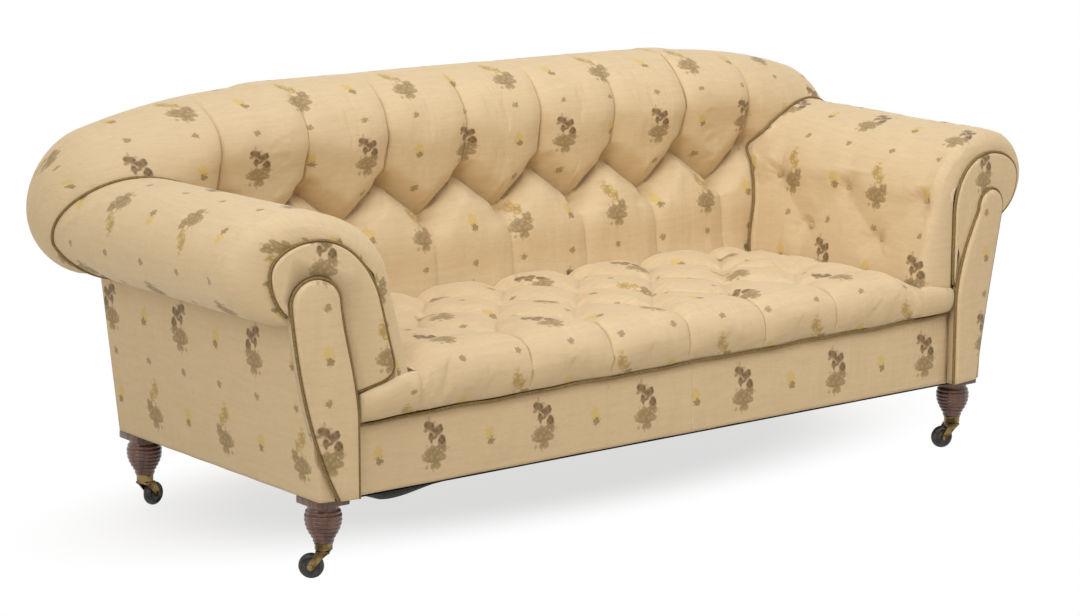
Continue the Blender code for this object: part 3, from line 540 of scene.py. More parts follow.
BUTTON_FINISH = NoiseFinish(
    "button_cloth", (0.42, 0.30, 0.15), (0.58, 0.43, 0.24), 300.0, roughness=(0.6, 0.8)
)
SLOT_FINISHES = {
    BEECH: NoiseFinish("beech", (0.33, 0.19, 0.09), (0.50, 0.33, 0.18), 9.0, (1.0, 1.0, 14.0)),
    "mahogany_leg": NoiseFinish(
        "mahogany",
        (0.058, 0.019, 0.009),
        (0.165, 0.062, 0.031),
        16.0,
        (5.0, 5.0, 1.0),
        (0.24, 0.40),
        coat=0.35,
    ),
    "brass_castor": NoiseFinish(
        "aged_brass", (0.075, 0.046, 0.017), (0.300, 0.206, 0.083), 55.0, roughness=(0.28, 0.52), metallic=1.0
    ),
    "castor_wheel": NoiseFinish("dark_wheel", (0.012, 0.011, 0.010), (0.050, 0.045, 0.038), 90.0),
    "jute_webbing": NoiseFinish("jute", (0.26, 0.17, 0.07), (0.42, 0.31, 0.16), 260.0, roughness=(0.8, 0.9)),
    "spring_steel": NoiseFinish(
        "spring_steel", (0.12, 0.11, 0.10), (0.34, 0.32, 0.30), 60.0, roughness=(0.3, 0.5), metallic=0.9
    ),
    "black_linen": NoiseFinish(
        "black_linen", (0.006, 0.006, 0.006), (0.028, 0.027, 0.026), 330.0, roughness=(0.8, 0.95)
    ),
    CORD: NoiseFinish(
        "olive_piping", (0.150, 0.093, 0.026), (0.290, 0.190, 0.064), 420.0, roughness=(0.65, 0.85)
    ),
    CLOTH: SprigCloth(),
}


class Finishes:
    """Every material of the scene, made once."""

    def __init__(self) -> None:
        """Makes them."""
        self.buttons = BUTTON_FINISH.make()
        self.by_slot = {slot: finish.make() for slot, finish in SLOT_FINISHES.items()}


# Making and placing pieces


def gridded(places: Array) -> tuple[Mesh, list[tuple[int, int]]]:
    """A sheet of faces through a grid of places.

    Args:
        places: Sections by points along each by 3.

    Returns:
        The mesh, and the section and point of each of its corners.
    """
    sections, around = places.shape[:2]
    bm = bmesh.new()
    bmesh.ops.create_grid(bm, x_segments=sections - 1, y_segments=around - 1, size=0.5)
    bm.verts.index_update()
    spots = []
    for vert in bm.verts:
        i = round((vert.co.x + 0.5) * (sections - 1))
        j = round((vert.co.y + 0.5) * (around - 1))
        spots.append((i, j))
        vert.co = places[i, j]
    return bm, spots


@dataclass
class Workshop:
    """Turns places and outlines into pieces that ride on the CAD body, and keeps a list of them."""

    finishes: Finishes
    made: list[bpy.types.Object] = field(default_factory=list)
    stretch_limit: float = 1.5
    squeeze_limit: float = 1.8
    limit_ease: float = 0.6

    def piece(
        self,
        name: str,
        bm: Mesh,
        slot: str,
        nodes: Sequence[str] = (),
        fill: float = 0.0,
        body: str = BODY,
        finish: Material | None = None,
    ) -> bpy.types.Object:
        """Finishes a mesh as a piece.

        Args:
            name: Name of the piece.
            bm: Its closed mesh.
            slot: The record's material slot.
            nodes: CAD nodes that it stands for.
            fill: How firmly it is stuffed, or 0 where it isn't padded; not used.
            body: The CAD body that it rides on.
            finish: Its material, where it isn't the slot's own.

        Returns:
            The object.
        """
        bmesh.ops.recalc_face_normals(bm, faces=bm.faces)
        mesh = bpy.data.meshes.new(name)
        bm.to_mesh(mesh)
        bm.free()
        mesh.shade_smooth()
        mesh.materials.append(finish or self.finishes.by_slot[slot])
        made = bpy.data.objects.new(name, mesh)
        bpy.context.collection.objects.link(made)
        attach(made, body)
        if nodes:
            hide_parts(*nodes)
        self.made.append(made)
        return made

    def cover(self, name: str, places: Array, cloth: Array, node: str, fill: float = FIRM) -> None:
        """Makes a padded piece in the sofa's cloth from a grid that is rolled up section by section."""
        self.piece(name, self.rolled(places, cloth), CLOTH, [node], fill)

    def rolled(self, places: Array, cloth: Array) -> Mesh:
        """A closed form made from a grid that is rolled up section by section.

        Args:
            places: Sections by points round each by 3; the first and last point of a section meet.
            cloth: The same grid laid flat, in metres.

        Returns:
            The mesh, with its ends filled.
        """
        bm, spots = gridded(places)
        stretch = np.ones(places.shape[:2])
        squeeze = np.ones(places.shape[:2])
        for axis in (0, 1):
            real, flat = (np.linalg.norm(np.gradient(grid, axis=axis), axis=2) for grid in (places, cloth))
            stretch = np.maximum(stretch, real / np.maximum(flat, TINY))
            squeeze = np.maximum(squeeze, flat / np.maximum(real, TINY))
        pulled = smooth((stretch - self.stretch_limit) / self.limit_ease)
        gathers = smooth((squeeze - self.squeeze_limit) / self.limit_ease)
        plain = np.maximum(pulled, gathers)
        shade = bm.verts.layers.float.new(PLAIN)
        layer = bm.loops.layers.uv.new(CLOTH_MAP)
        for vert, spot in zip(bm.verts, spots):
            vert[shade] = plain[spot]
        for face in bm.faces:
            for loop in face.loops:
                loop[layer].uv = cloth[spots[loop.vert.index]]
        bmesh.ops.remove_doubles(bm, verts=bm.verts, dist=WELD)
        ends = [edge for edge in bm.edges if edge.is_boundary]
        bmesh.ops.holes_fill(bm, edges=ends, sides=0)
        return bm

    def cord(self, name: str, path: Array, radius: float, nodes: Sequence[str] = ()) -> bpy.types.Object:
        """A round cord sewn along a line.

        Args:
            name: Name of the piece.
            path: Points as rows.
            radius: Its radius.
            nodes: CAD nodes that it stands for.

        Returns:
            The object.
        """
        curve = bpy.data.curves.new(name, "CURVE")
        curve.dimensions = "3D"
        curve.bevel_depth = radius
        curve.bevel_resolution = 3
        curve.use_fill_caps = True
        line = curve.splines.new("POLY")
        line.points.add(len(path) - 1)
        for point, place in zip(line.points, path):
            point.co = (*place, 1)
        drawn = bpy.data.objects.new(name, curve)
        mesh = bpy.data.meshes.new_from_object(drawn)
        bm = bmesh.new()
        bm.from_mesh(mesh)
        bmesh.ops.remove_doubles(bm, verts=bm.verts, dist=WELD)
        bpy.data.objects.remove(drawn)
        bpy.data.curves.remove(curve)
        bpy.data.meshes.remove(mesh)
        return self.piece(name, bm, CORD, nodes)

    def buttons(self, name: str, places: Array, outward: Array, radius: float) -> bpy.types.Object:
        """Covered buttons, as one piece.

        Args:
            name: Name of the piece.
            places: Where each sits, as rows.
            outward: Which way each faces, as rows.
            radius: Their radius.

        Returns:
            The object.
        """
        bm = bmesh.new()
        flat = Matrix.Diagonal((1.0, 1.0, 0.5, 1.0))
        for place, way in zip(places, outward):
            turn = Vector((0, 0, 1)).rotation_difference(Vector(way)).to_matrix().to_4x4()
            spot = Matrix.Translation(Vector(place)) @ turn @ flat
            bmesh.ops.create_uvsphere(bm, u_segments=14, v_segments=8, radius=radius, matrix=spot)
        return self.piece(name, bm, CLOTH, finish=self.finishes.buttons)


# Buttoning


@dataclass(frozen=True)
class Fold:
    """A pleat in the cover between two places, as deep as said at each end."""

    start: Pair
    end: Pair
    depths: Pair
    spread: float


def pleats(start: Pair, end: Pair, shapes: Sequence[Pleat]) -> list[Fold]:
    """Returns: a fold of each shape between two places."""
    return [Fold(start, end, *shape) for shape in shapes]


@dataclass(frozen=True)
class Tufting:
    """Buttons and pleats on one flat cover, in the cover's own two directions."""

    buttons: tuple[Pair, ...]
    folds: tuple[Fold, ...]
    pull: float
    spread: float
    ripple: float = 0.0012
    rays: int = 11
    ray_start: float = 0.012
    blend: float = 3.0
    pleat_hold: float = 0.7
    hold_start: float = 0.25
    hold_ease: float = 0.4
    button: float = 0.011
    button_hold: float = 1.6

    def depth(self, u: Array, v: Array) -> Array:
        """How far the cover is drawn in.

        Args:
            u: Places along the first direction.
            v: Places along the second.

        Returns:
            Depths, in metres.
        """
        total = np.zeros_like(u)
        for fold in self.folds:
            du, dv = fold.end[0] - fold.start[0], fold.end[1] - fold.start[1]
            t = np.clip(((u - fold.start[0]) * du + (v - fold.start[1]) * dv) / (du * du + dv * dv), 0, 1)
            far = np.hypot(u - fold.start[0] - t * du, v - fold.start[1] - t * dv)
            near = np.clip(1 - far / fold.spread, 0, 1)
            total += (mix(*fold.depths, t) * near**2) ** self.blend
        for place in self.buttons:
            away, turn = np.hypot(u - place[0], v - place[1]), np.arctan2(v - place[1], u - place[0])
            near = np.clip(1 - away / self.spread, 0, 1)
            wave = np.cos(self.rays * turn + 40 * place[0]) * smooth(away / self.ray_start)
            total += np.maximum(self.pull * near**2 + self.ripple * near * wave, 0) ** self.blend
        return total ** (1 / self.blend)

    def held(self, u: Array, v: Array) -> Array:
        """How firmly the cover is held down by its buttons and pleats.

        Args:
            u: Places along the first direction.
            v: Places along the second.

        Returns:
            1 where it is held and 0 where it is free.
        """
        hold = self.pleat_hold * smooth((self.depth(u, v) / self.pull - self.hold_start) / self.hold_ease)
        for place in self.buttons:
            away = np.hypot(u - place[0], v - place[1]) / self.button
            hold = np.maximum(hold, smooth(self.button_hold - away))
        return hold


# Soft forms


@dataclass(frozen=True)
class BackSizes:
    """Sizes of the back and its roll."""

    foot_depth: float = 0.455
    foot_height: float = 0.300
    slope: float = 0.3127
    rows: Pair = (0.515, 0.575)
    pitch: float = 0.185
    roll_depth: float = 0.655
    roll_height: float = 0.672
    half_depth: float = 0.140
    half_height: float = 0.100
    roll_start: float = 0.620
    blend_start: float = 0.520
    blend_level: float = 0.170
    tuck: float = 0.020
    tuck_top: float = 0.480
    tuck_foot: float = 0.370
    wing_start: float = 0.447
    wing_full: float = 0.970
    wing_power: float = 2.33
    wing_fall: float = 0.094
    wing_narrowing: float = 0.0253
    wing_setback: float = 0.0231
    tilt: float = 0.0022
    ear_start: float = 0.600
    ear_full: float = 0.880
    ear_sag: float = 0.120
    ear_centre: float = 0.8537
    ear_radius: float = 0.1044
    ear_wall: float = 0.795
    outside_depth: float = 0.672
    rake: float = 0.080
    underside: float = 0.147


@dataclass
class Sofa:
    """Shapes that several pieces share."""

    back: BackSizes = BackSizes()
    half: float = 0.800
    front: float = -0.3845
    cover: float = 0.004
    cord: float = 0.0027
    splay_rate: float = 0.160

    def at_depth(self, depth: Value) -> Value:
        """Y of a depth."""
        return self.front + depth

    def laid_out(self, xs: Array, flat: Array) -> Array:
        """Places of sections that stand side by side."""
        x = np.broadcast_to(xs[:, None], flat.shape[:2])
        return np.stack([x, self.at_depth(flat[..., 0]), flat[..., 1]], -1)

    def splay(self, s: Value) -> Value:
        """Returns: how far the front of an arm is turned back at a reach."""
        return self.splay_rate * (s - self.half)

    def roll_at(self, x: Value) -> tuple[Array, Array, Array, Array]:
        """The back roll's section.

        Args:
            x: Where along the roll.

        Returns:
            Depth and height of its middle, and its half depth and half height.
        """
        b, reach = self.back, np.abs(x)
        t = np.clip((reach - b.wing_start) / (b.wing_full - b.wing_start), 0, 1) ** b.wing_power
        top = b.roll_height + b.half_height - b.wing_fall * t - b.tilt * np.maximum(x, 0)
        sag = b.ear_sag * smooth((reach - b.ear_start) / (b.ear_full - b.ear_start))
        foot = b.roll_height - b.half_height - sag
        past = np.clip((reach - b.ear_centre) / b.ear_radius, 0, 1)
        size = np.sqrt(1 - past * past)
        wide, high = (b.half_depth - b.wing_narrowing * t) * size, (top - foot) / 2 * size
        return b.roll_depth + b.wing_setback * t, (top + foot) / 2, wide, high

    def on_roll(self, x: float, angles: Array) -> Array:
        """Points of the back roll's section."""
        depth, height, wide, high = self.roll_at(x)
        return np.stack([depth - wide * np.cos(angles), height + high * np.sin(angles)], -1)

    def slab_depth(self, z: Value) -> Value:
        """Depth of the front of the back below its roll.

        Args:
            z: The height.

        Returns:
            The depth.
        """
        b = self.back
        tuck = b.tuck * smooth((b.tuck_top - z) / (b.tuck_top - b.tuck_foot))
        return b.foot_depth + b.slope * (z - b.foot_height) + tuck

    def roll_front(self, x: Value, z: Value) -> Value:
        """Depth of the front of the roll.

        Args:
            x: Where along it.
            z: The height.

        Returns:
            The depth.
        """
        depth, height, wide, high = self.roll_at(x)
        level = np.clip((z - height) / np.maximum(high, TINY), -0.8, 0.98)
        return depth - wide * np.sqrt(1 - level * level)

    def back_front(self, x: Array, z: Array) -> Array:
        """Depth of the front of the back, slab and roll.

        Args:
            x: Where along it.
            z: The height.

        Returns:
            The depth.
        """
        b = self.back
        _, _, wide, high = self.roll_at(x)
        end = self.blend_end(x)
        span = end - b.blend_start
        t = np.clip((z - b.blend_start) / span, 0, 1)
        fall = -wide / np.maximum(high, TINY) * b.blend_level / math.sqrt(1 - b.blend_level**2)
        ends = mix(self.slab_depth(b.blend_start), self.roll_front(x, end), t * t * (3 - 2 * t))
        bend = span * t * (1 - t) * (b.slope * (1 - t) - fall * t)
        low = np.where(z < b.blend_start, self.slab_depth(z), ends + bend)
        return np.where((np.abs(x) > b.ear_wall) | (z > end), self.roll_front(x, z), low)

    def blend_end(self, x: Value) -> Value:
        """Height at which the slab has run over into the roll."""
        _, height, _, high = self.roll_at(x)
        return height - self.back.blend_level * high

    def outside_depth(self, z: Value) -> Value:
        """Depth of the outside back."""
        return self.back.outside_depth + self.back.rake * (z - self.back.underside)


@dataclass
class ClothPress:
    """Lets a cover settle over its stuffing in a short cloth simulation."""

    frames: int = 10
    thinning: int = 2
    fabric: ClassVar[dict[str, object]] = {
        "quality": 4,
        "mass": 0.25,
        "tension_stiffness": 12,
        "compression_stiffness": 12,
        "shear_stiffness": 4,
        "bending_stiffness": 0.4,
        "use_pressure": True,
        "uniform_pressure_force": 4,
        "vertex_group_mass": HELD,
    }

    def settled(self, places: Array, held: Array, growth: float, cap: float) -> Array:
        """Puffs a cover between the places where it is held.

        Args:
            places: The cover, sections by points by 3.
            held: How firmly each place is held, from 0 to 1.
            growth: How much larger the cover is cut than its form.
            cap: How far a point may move.

        Returns:
            The places of the settled cover.
        """
        picks = [np.unique(np.append(np.arange(0, n, self.thinning), n - 1)) for n in places.shape[:2]]
        rest, hold = places[np.ix_(*picks)], held[np.ix_(*picks)]
        change = self.simulated(rest, hold, growth) - rest
        size = np.linalg.norm(change, axis=2)[..., None]
        LOG.info("a cover settled by up to %.1f mm before its cap", 1000 * float(size.max()))
        change *= cap * np.tanh(size / cap) / np.maximum(size, TINY)
        for axis, (pick, count) in enumerate(zip(picks, places.shape[:2])):
            change = np.apply_along_axis(lambda line: np.interp(np.arange(count), pick, line), axis, change)
        return places + change * (1 - held)[..., None]

    def simulated(self, places: Array, held: Array, growth: float) -> Array:
        """Runs the simulation.

        Args:
            places: The cover, sections by points by 3.
            held: How firmly each place is held, from 0 to 1.
            growth: How much larger the cover is cut than its form.

        Returns:
            Where the places have moved to.
        """
        bm, spots = gridded(places)
        bmesh.ops.recalc_face_normals(bm, faces=bm.faces)
        mesh = bpy.data.meshes.new("cover")
        bm.to_mesh(mesh)
        bm.free()
        made = bpy.data.objects.new("cover", mesh)
        scene = bpy.context.scene
        scene.collection.objects.link(made)
        group = made.vertex_groups.new(name=HELD)
        levels = np.round(np.clip([held[spot] for spot in spots], 0, 1), 1)
        for level in np.unique(levels):
            group.add(np.flatnonzero(levels == level).tolist(), float(level), "REPLACE")
        step = made.modifiers.new("stuffing", "CLOTH")
        for key, value in {**self.fabric, "shrink_min": -growth}.items():
            setattr(step.settings, key, value)
        step.settings.effector_weights.gravity = 0
        step.collision_settings.use_collision = False
        step.point_cache.frame_start = 1
        step.point_cache.frame_end = self.frames
        for number in range(1, self.frames + 1):
            scene.frame_set(number)
        ready = made.evaluated_get(bpy.context.evaluated_depsgraph_get()).data
        moved = np.empty(len(spots) * 3)
        ready.vertices.foreach_get("co", moved)
        bpy.data.objects.remove(made)
        bpy.data.meshes.remove(mesh)
        scene.frame_set(1)
        found = np.empty_like(places)
        for spot, place in zip(spots, moved.reshape(-1, 3)):
            found[spot] = place
        return found


@dataclass
class Upholstery:
    """A soft sub-assembly, with the shapes, the workshop and the press that it is made with."""

    sofa: Sofa
    shop: Workshop
    press: ClothPress

    def stuffed(
        self,
        name: str,
        places: Array,
        cloth: Array,
        drawn: Array,
        held: Array,
        top: tuple[int, int],
        settle: Pair,
    ) -> tuple[Array, Array]:
        """Makes a stuffed form whose cover is drawn in at its buttons and then settles.

        Args:
            name: Name of the form.
            places: Its cover, sections by points round each by 3.
            cloth: The cover laid flat.
            drawn: How far each place is drawn in.
            held: How firmly each place is held, from 0 to 1.
            top: A place that faces up.
            settle: How much larger the cover is cut than its form, and how far a point may move.

        Returns:
            The settled places, and the way that each faced before it was drawn in.
        """
        out = normals(places)
        out = out * np.sign(out[top][2])
        places = places - out * drawn[..., None]
        places[:, -1] = places[:, 0]
        places = self.press.settled(places, held, *settle)
        self.shop.cover(f"{name}_cushion", places, cloth, f"{name}_pad", SOFT)
        return places, out


@dataclass
class BackRest(Upholstery):
    """The buttoned back with its roll and rounded ends."""

    reach: float = 0.690
    low_height: float = 0.585
    sections: int = 380
    end_turn: ClassVar[Array] = np.radians(np.linspace(7, 89.9, 13))
    end_bottom: float = math.radians(-88)
    rise_points: int = 70
    roll_points: int = 116
    inside_points: int = 12
    gather: float = 0.7
    origin: Pair = (-0.095, 0.361)
    roll_cloth: float = 0.600
    diamond: tuple[Pleat, ...] = (((0.036, 0.036), 0.046), ((0.045, 0.045), 0.012))
    over_roll: tuple[Pleat, ...] = (((0.022, 0.001), 0.044), ((0.030, 0.004), 0.006))
    to_foot: tuple[Pleat, ...] = (((0.012, 0.003), 0.040), ((0.016, 0.003), 0.006))
    roll_fold: float = 0.26
    foot_fold: float = 0.02
    pull: float = 0.050
    pull_spread: float = 0.055
    settle: Pair = (0.03, 0.007)
    button: float = 0.0085
    button_lift: float = 0.005
    fade_length: float = 0.05
    still_start: float = 0.48
    still_length: float = 0.12
    rail_middle: float = 0.622
    rail_foot: float = 0.6235
    rail_top: float = 0.663
    rail_gap: float = 0.0065
    rail_depth: float = 0.10
    foot_depth: float = 0.06

    def tufting(self) -> Tufting:
        """Returns: the buttons and pleats, by distance along and up the cover."""
        b = self.sofa.back
        low, high = (self.rise(z) for z in b.rows)
        upper = [((k + 0.5) * b.pitch, high) for k in range(-4, 4)]
        lower = [(k * b.pitch, low) for k in range(-3, 4)]
        folds = []
        for spot in upper:
            for other in lower:
                if abs(spot[0] - other[0]) < NEIGHBOUR * b.pitch:
                    folds += pleats(spot, other, self.diamond)
            folds += pleats(spot, (spot[0], high + self.roll_fold), self.over_roll)
        for spot in lower:
            folds += pleats(spot, (spot[0], self.foot_fold), self.to_foot)
        return Tufting(tuple(upper + lower), tuple(folds), self.pull, self.pull_spread)

    def rise(self, z: Value) -> Value:
        """Distance up the slab."""
        return (z - self.sofa.back.foot_height) * math.hypot(1, self.sofa.back.slope)

    def tail(self, x: float) -> float:
        """Angle at which the roll comes down on the outside back.

        Args:
            x: Where along the roll.

        Returns:
            The angle, from the front over the top.
        """
        angles = np.radians(np.arange(180, 271))
        places = self.sofa.on_roll(x, angles)
        inside = places[:, 0] < self.sofa.outside_depth(places[:, 1]) + 0.001
        return float(angles[np.argmax(inside)]) - math.radians(1)

    def front_at(self, x: Array, z: Array) -> Array:
        """Depth of the finished front, as the arms meet it.

        Args:
            x: Where along the back.
            z: The height.

        Returns:
            The depth.
        """
        rise = self.rise(np.minimum(z, self.sofa.back.roll_start))
        drawn = self.tufting().depth(np.asarray(x, float), rise)
        return self.sofa.back_front(x, z) + drawn * self.fade(x)

    def fade(self, x: Array) -> Array:
        """How much of the buttoning is left towards the ends of the back."""
        return smooth((self.reach + self.fade_length - np.abs(x)) / self.fade_length)

    def hollow(self, last: Array, first: Array) -> Array:
        """The line inside the form, round the top rail.

        Args:
            last: Where the roll ends behind.
            first: Foot of the front.

        Returns:
            Depths and heights as rows.
        """
        rail = self.sofa.outside_depth(self.rail_middle) - self.rail_gap
        behind = [last, (rail, self.rail_foot), (rail, self.rail_top)]
        before = [(rail - self.rail_depth, self.rail_top), (first[0] + self.foot_depth, first[1]), first]
        return spaced(np.array(behind + before), self.inside_points)

    def section(self, x: float) -> tuple[Array, Array]:
        """One section of the back.

        Args:
            x: Where along it.

        Returns:
            Its points as (depth, height), and the distance up the cover at each.
        """
        sofa, b = self.sofa, self.sofa.back
        _, height, _, high = sofa.roll_at(x)
        start = math.asin(float(np.clip((b.roll_start - height) / max(high, TINY), -0.9, 0.9)))
        tail = self.tail(math.copysign(min(abs(x), b.ear_wall), x))
        angles = np.linspace(start, tail, self.roll_points)
        over = sofa.on_roll(x, angles)
        if abs(x) > b.ear_wall:
            below = np.linspace(self.end_bottom, start, self.rise_points)
            rise = sofa.on_roll(x, below)
            climb = self.rise(b.roll_start) + (below - start) * b.half_height
            inside = sofa.on_roll(x, np.linspace(tail, self.end_bottom + math.tau, self.inside_points))
        else:
            low = mix(b.foot_height, self.low_height, float(smooth((abs(x) - self.reach + 0.03) / 0.05)))
            z = np.linspace(low, b.roll_start, self.rise_points)
            rise = np.stack([sofa.back_front(np.full_like(z, x), z), z], -1)
            climb = self.rise(z)
            eased = (angles < math.pi / 2) & (over[:, 1] < sofa.blend_end(x))
            over[eased, 0] = sofa.back_front(np.full(eased.sum(), x), over[eased, 1])
            inside = self.hollow(over[-1], rise[0])
        across = self.rise(b.roll_start) + np.linspace(0, self.roll_cloth, self.roll_points)
        points = np.concatenate([rise, over[1:], inside[1:]])
        return points, np.concatenate([climb, across[1:], np.full(self.inside_points - 1, across[-1])])

    def build(self) -> None:
        """Makes the back and its buttons."""
        b = self.sofa.back
        main = gathered(b.ear_centre, self.sections, b.pitch / 2, self.gather)
        ends, arcs = (b.ear_centre + b.ear_radius * t for t in (np.sin(self.end_turn), self.end_turn))
        xs, along = (np.concatenate([-end[::-1], main, end]) for end in (ends, arcs))
        found = [self.section(float(x)) for x in xs]
        flat = np.stack([points for points, _ in found])
        u, v = np.broadcast_arrays(along[:, None], np.stack([climb for _, climb in found]))
        tufting = self.tufting()
        index = np.arange(flat.shape[1])
        shown = index < self.rise_points + self.roll_points - 1
        still = smooth((np.abs(u) - self.still_start) / self.still_length)
        held = np.maximum(tufting.held(u, v), still)
        places, out = self.stuffed(
            "back",
            self.sofa.laid_out(xs, flat),
            np.stack([u, v], -1) - np.array(self.origin),
            tufting.depth(u, v) * self.fade(xs)[:, None] * shown,
            np.where(shown & (index > 2), held, 1.0),
            (self.sections // 2, self.rise_points + self.roll_points // 2),
            self.settle,
        )
        spots = np.array(tufting.buttons)
        front = v[:, : self.rise_points + 40]
        i = np.abs(along[:, None] - spots[:, 0]).argmin(0)
        j = np.abs(front[i] - spots[:, 1:]).argmin(1)
        self.shop.buttons("back_buttons", places[i, j] + self.button_lift * out[i, j], out[i, j], self.button)


@dataclass(frozen=True)
class SeatEnd:
    """Where the front of the seat ends at one side: its rolled edge, the border below and the edge's top."""

    reach: float
    border: float
    top: float


@dataclass
class Seat(Upholstery):
    """The buttoned seat with its rolled front edge, the cord under it and the border below."""

    reach: float = 0.607
    left: SeatEnd = SeatEnd(0.7245, 0.7335, 0.3285)
    right: SeatEnd = SeatEnd(0.6985, 0.7055, 0.3430)
    joins: tuple[float, ...] = (-0.168, 0.034)
    join_steps: tuple[float, ...] = (-0.004, -0.002, -0.001, 0.0, 0.001, 0.002, 0.004)
    height: float = 0.380
    underside: float = 0.269
    foot_rise: float = 0.0042
    foot_depth: float = -0.005
    nose_end: float = 0.050
    lip_end: float = -0.014
    lip_start: float = 0.640
    lip_top: float = 0.3540
    first_row: float = 0.091
    row_step: float = 0.1117
    rows: int = 4
    shift: float = 0.012
    gather: float = 0.6
    sections: int = 300
    lip_sections: int = 16
    nose_points: int = 44
    top_points: int = 104
    back_points: int = 10
    under_points: int = 12
    border_sections: int = 150
    border_points: int = 22
    origin: Pair = (-0.025, 0.168)
    border_origin: Pair = (-0.080, 0.213)
    diamond: tuple[Pleat, ...] = (((0.010, 0.010), 0.056), ((0.0140, 0.0140), 0.008))
    to_side: tuple[Pleat, ...] = (((0.010, 0.003), 0.045),)
    over_nose: tuple[Pleat, ...] = (((0.012, 0.003), 0.050), ((0.017, 0.006), 0.006))
    to_rear: tuple[Pleat, ...] = (((0.017, 0.020), 0.060),)
    nose_fold: float = 0.012
    rear_fold: float = 0.065
    pull: float = 0.022
    pull_spread: float = 0.060
    settle: Pair = (0.03, 0.006)
    button: float = 0.0085
    button_lift: float = 0.003
    seam_height: float = 0.2815
    seam_rise: float = 0.0104
    seam_waves: tuple[tuple[float, float, float], ...] = ((0.0010, 21, 0.6), (0.0007, 47, 0.0))
    side_fall: float = 0.020
    side_ease: float = 0.06
    rear_gap: float = 0.004
    rear_turn: float = 0.045
    rear_line: tuple[Pair, ...] = ((0.012, 0.0), (0.0, 0.010), (0.008, 0.040))
    nose_handles: tuple[Pair, Pair] = ((-0.038, 0.008), (-0.036, 0.006))
    under_front: Pair = (0.0067, 0.0047)
    lip_bulge: float = -0.042
    lip_thinning: float = 0.35
    lip_ease: float = 0.04
    lip_handle: float = 0.004
    lip_rear: float = -0.0062
    border_puff: float = 0.0030
    border_ripple: float = 0.0006
    join_dent: float = 0.0011
    join_width: float = 0.003

    def seam(self, x: Value) -> Value:
        """Returns: height of the sewn seam, which rises to the right and wanders a little."""
        flat = self.seam_height + self.seam_rise * x
        return sum((size * np.sin(rate * x + start) for size, rate, start in self.seam_waves), flat)

    def tufting(self, nose: float) -> Tufting:
        """The buttons and pleats.

        Args:
            nose: Length of the cover round the front edge, up to where the top starts.

        Returns:
            The tufting, by distance along and back over the cover.
        """
        pitch = self.sofa.back.pitch
        rows = []
        for k in range(self.rows):
            depth = nose + self.first_row + k * self.row_step - self.nose_end
            steps = range(-3, 3) if k % 2 else range(-2, 3)
            rows.append([((n + 0.5 * (k % 2)) * pitch + self.shift, depth) for n in steps])
        folds = []
        for row, following in zip(rows, rows[1:]):
            for spot in row:
                for other in following:
                    if abs(spot[0] - other[0]) < NEIGHBOUR * pitch:
                        folds += pleats(spot, other, self.diamond)
        for row in rows:
            for spot, side in ((row[0], -1), (row[-1], 1)):
                folds += pleats(spot, (side * self.reach, spot[1]), self.to_side)
        for spot in rows[0]:
            folds += pleats(spot, (spot[0], self.nose_fold), self.over_nose)
        for spot in rows[-1]:
            folds += pleats(spot, (spot[0], spot[1] + self.rear_fold), self.to_rear)
        spots = tuple(spot for row in rows for spot in row)
        return Tufting(spots, tuple(folds), self.pull, self.pull_spread)

    def section(self, x: float) -> Array:
        """One section of the seat.

        Args:
            x: Where along it.

        Returns:
            Its points as (depth, height), from the seam over the top and back underneath.
        """
        foot = float(self.seam(x)) + self.foot_rise
        nose, top, rear, under = self.cushion(x, foot) if abs(x) <= self.reach else self.lip(x, foot)
        under = spaced(np.array([rear[-1], *under]), self.under_points + 1)
        return np.concatenate([nose, top[1:], rear[1:], under[1:]])

    def cushion(self, x: float, foot: float) -> tuple[Array, Array, Array, list[Pair]]:
        """The lines of a section between the arms.

        Args:
            x: Where along the seat.
            foot: Height of the front's foot.

        Returns:
            The nose, the top, the rear and the corners underneath.
        """
        side = float(smooth((abs(x) - self.reach + self.side_ease) / self.side_ease))
        top = self.height - self.side_fall * side
        rear = self.sofa.slab_depth(top) - self.rear_gap
        turn, deep = rear - self.rear_turn, self.sofa.slab_depth(self.underside) - 0.001
        first, (low, high) = (self.foot_depth, foot), self.nose_handles
        nose = [first, (low[0], foot + low[1]), (high[0], top + high[1]), (self.nose_end, top)]
        behind = [(turn, top), *((rear - before, top - below) for before, below in self.rear_line)]
        base, (inner, outer) = self.underside, self.under_front
        return (
            spaced(bezier(nose, 60), self.nose_points),
            np.linspace((self.nose_end, top), (turn, top), self.top_points),
            bezier(behind, self.back_points),
            [(deep, base), (inner, base), (outer, foot), first],
        )

    def lip(self, x: float, foot: float) -> tuple[Array, Array, Array, list[Pair]]:
        """The lines of a section in front of an arm, where only the rolled edge goes on.

        Args:
            x: Where along the seat.
            foot: Height of the front's foot.

        Returns:
            The nose, the top, the rear and the corners underneath.
        """
        end = self.left if x < 0 else self.right
        thinned = float(smooth((abs(x) - end.reach + self.lip_ease) / self.lip_ease))
        bulge = self.lip_bulge * (1 - self.lip_thinning * thinned)
        share = max(0.0, (abs(x) - self.lip_start) / (end.reach - self.lip_start))
        top = mix(self.lip_top, end.top, share)
        first, rear, handle = (self.foot_depth, foot), self.lip_rear, self.lip_handle
        nose = [first, (bulge, foot + handle), (bulge, top + handle), (self.lip_end, top)]
        return (
            spaced(bezier(nose, 60), self.nose_points),
            np.linspace((self.lip_end, top), (-0.0065, top - 0.002), self.top_points),
            np.linspace((rear, top - 0.003), (rear, top - 0.010), self.back_points),
            [(rear, top - 0.012), (-0.0020, top - 0.016), (-0.001, foot + 0.002), (-0.002, foot), first],
        )

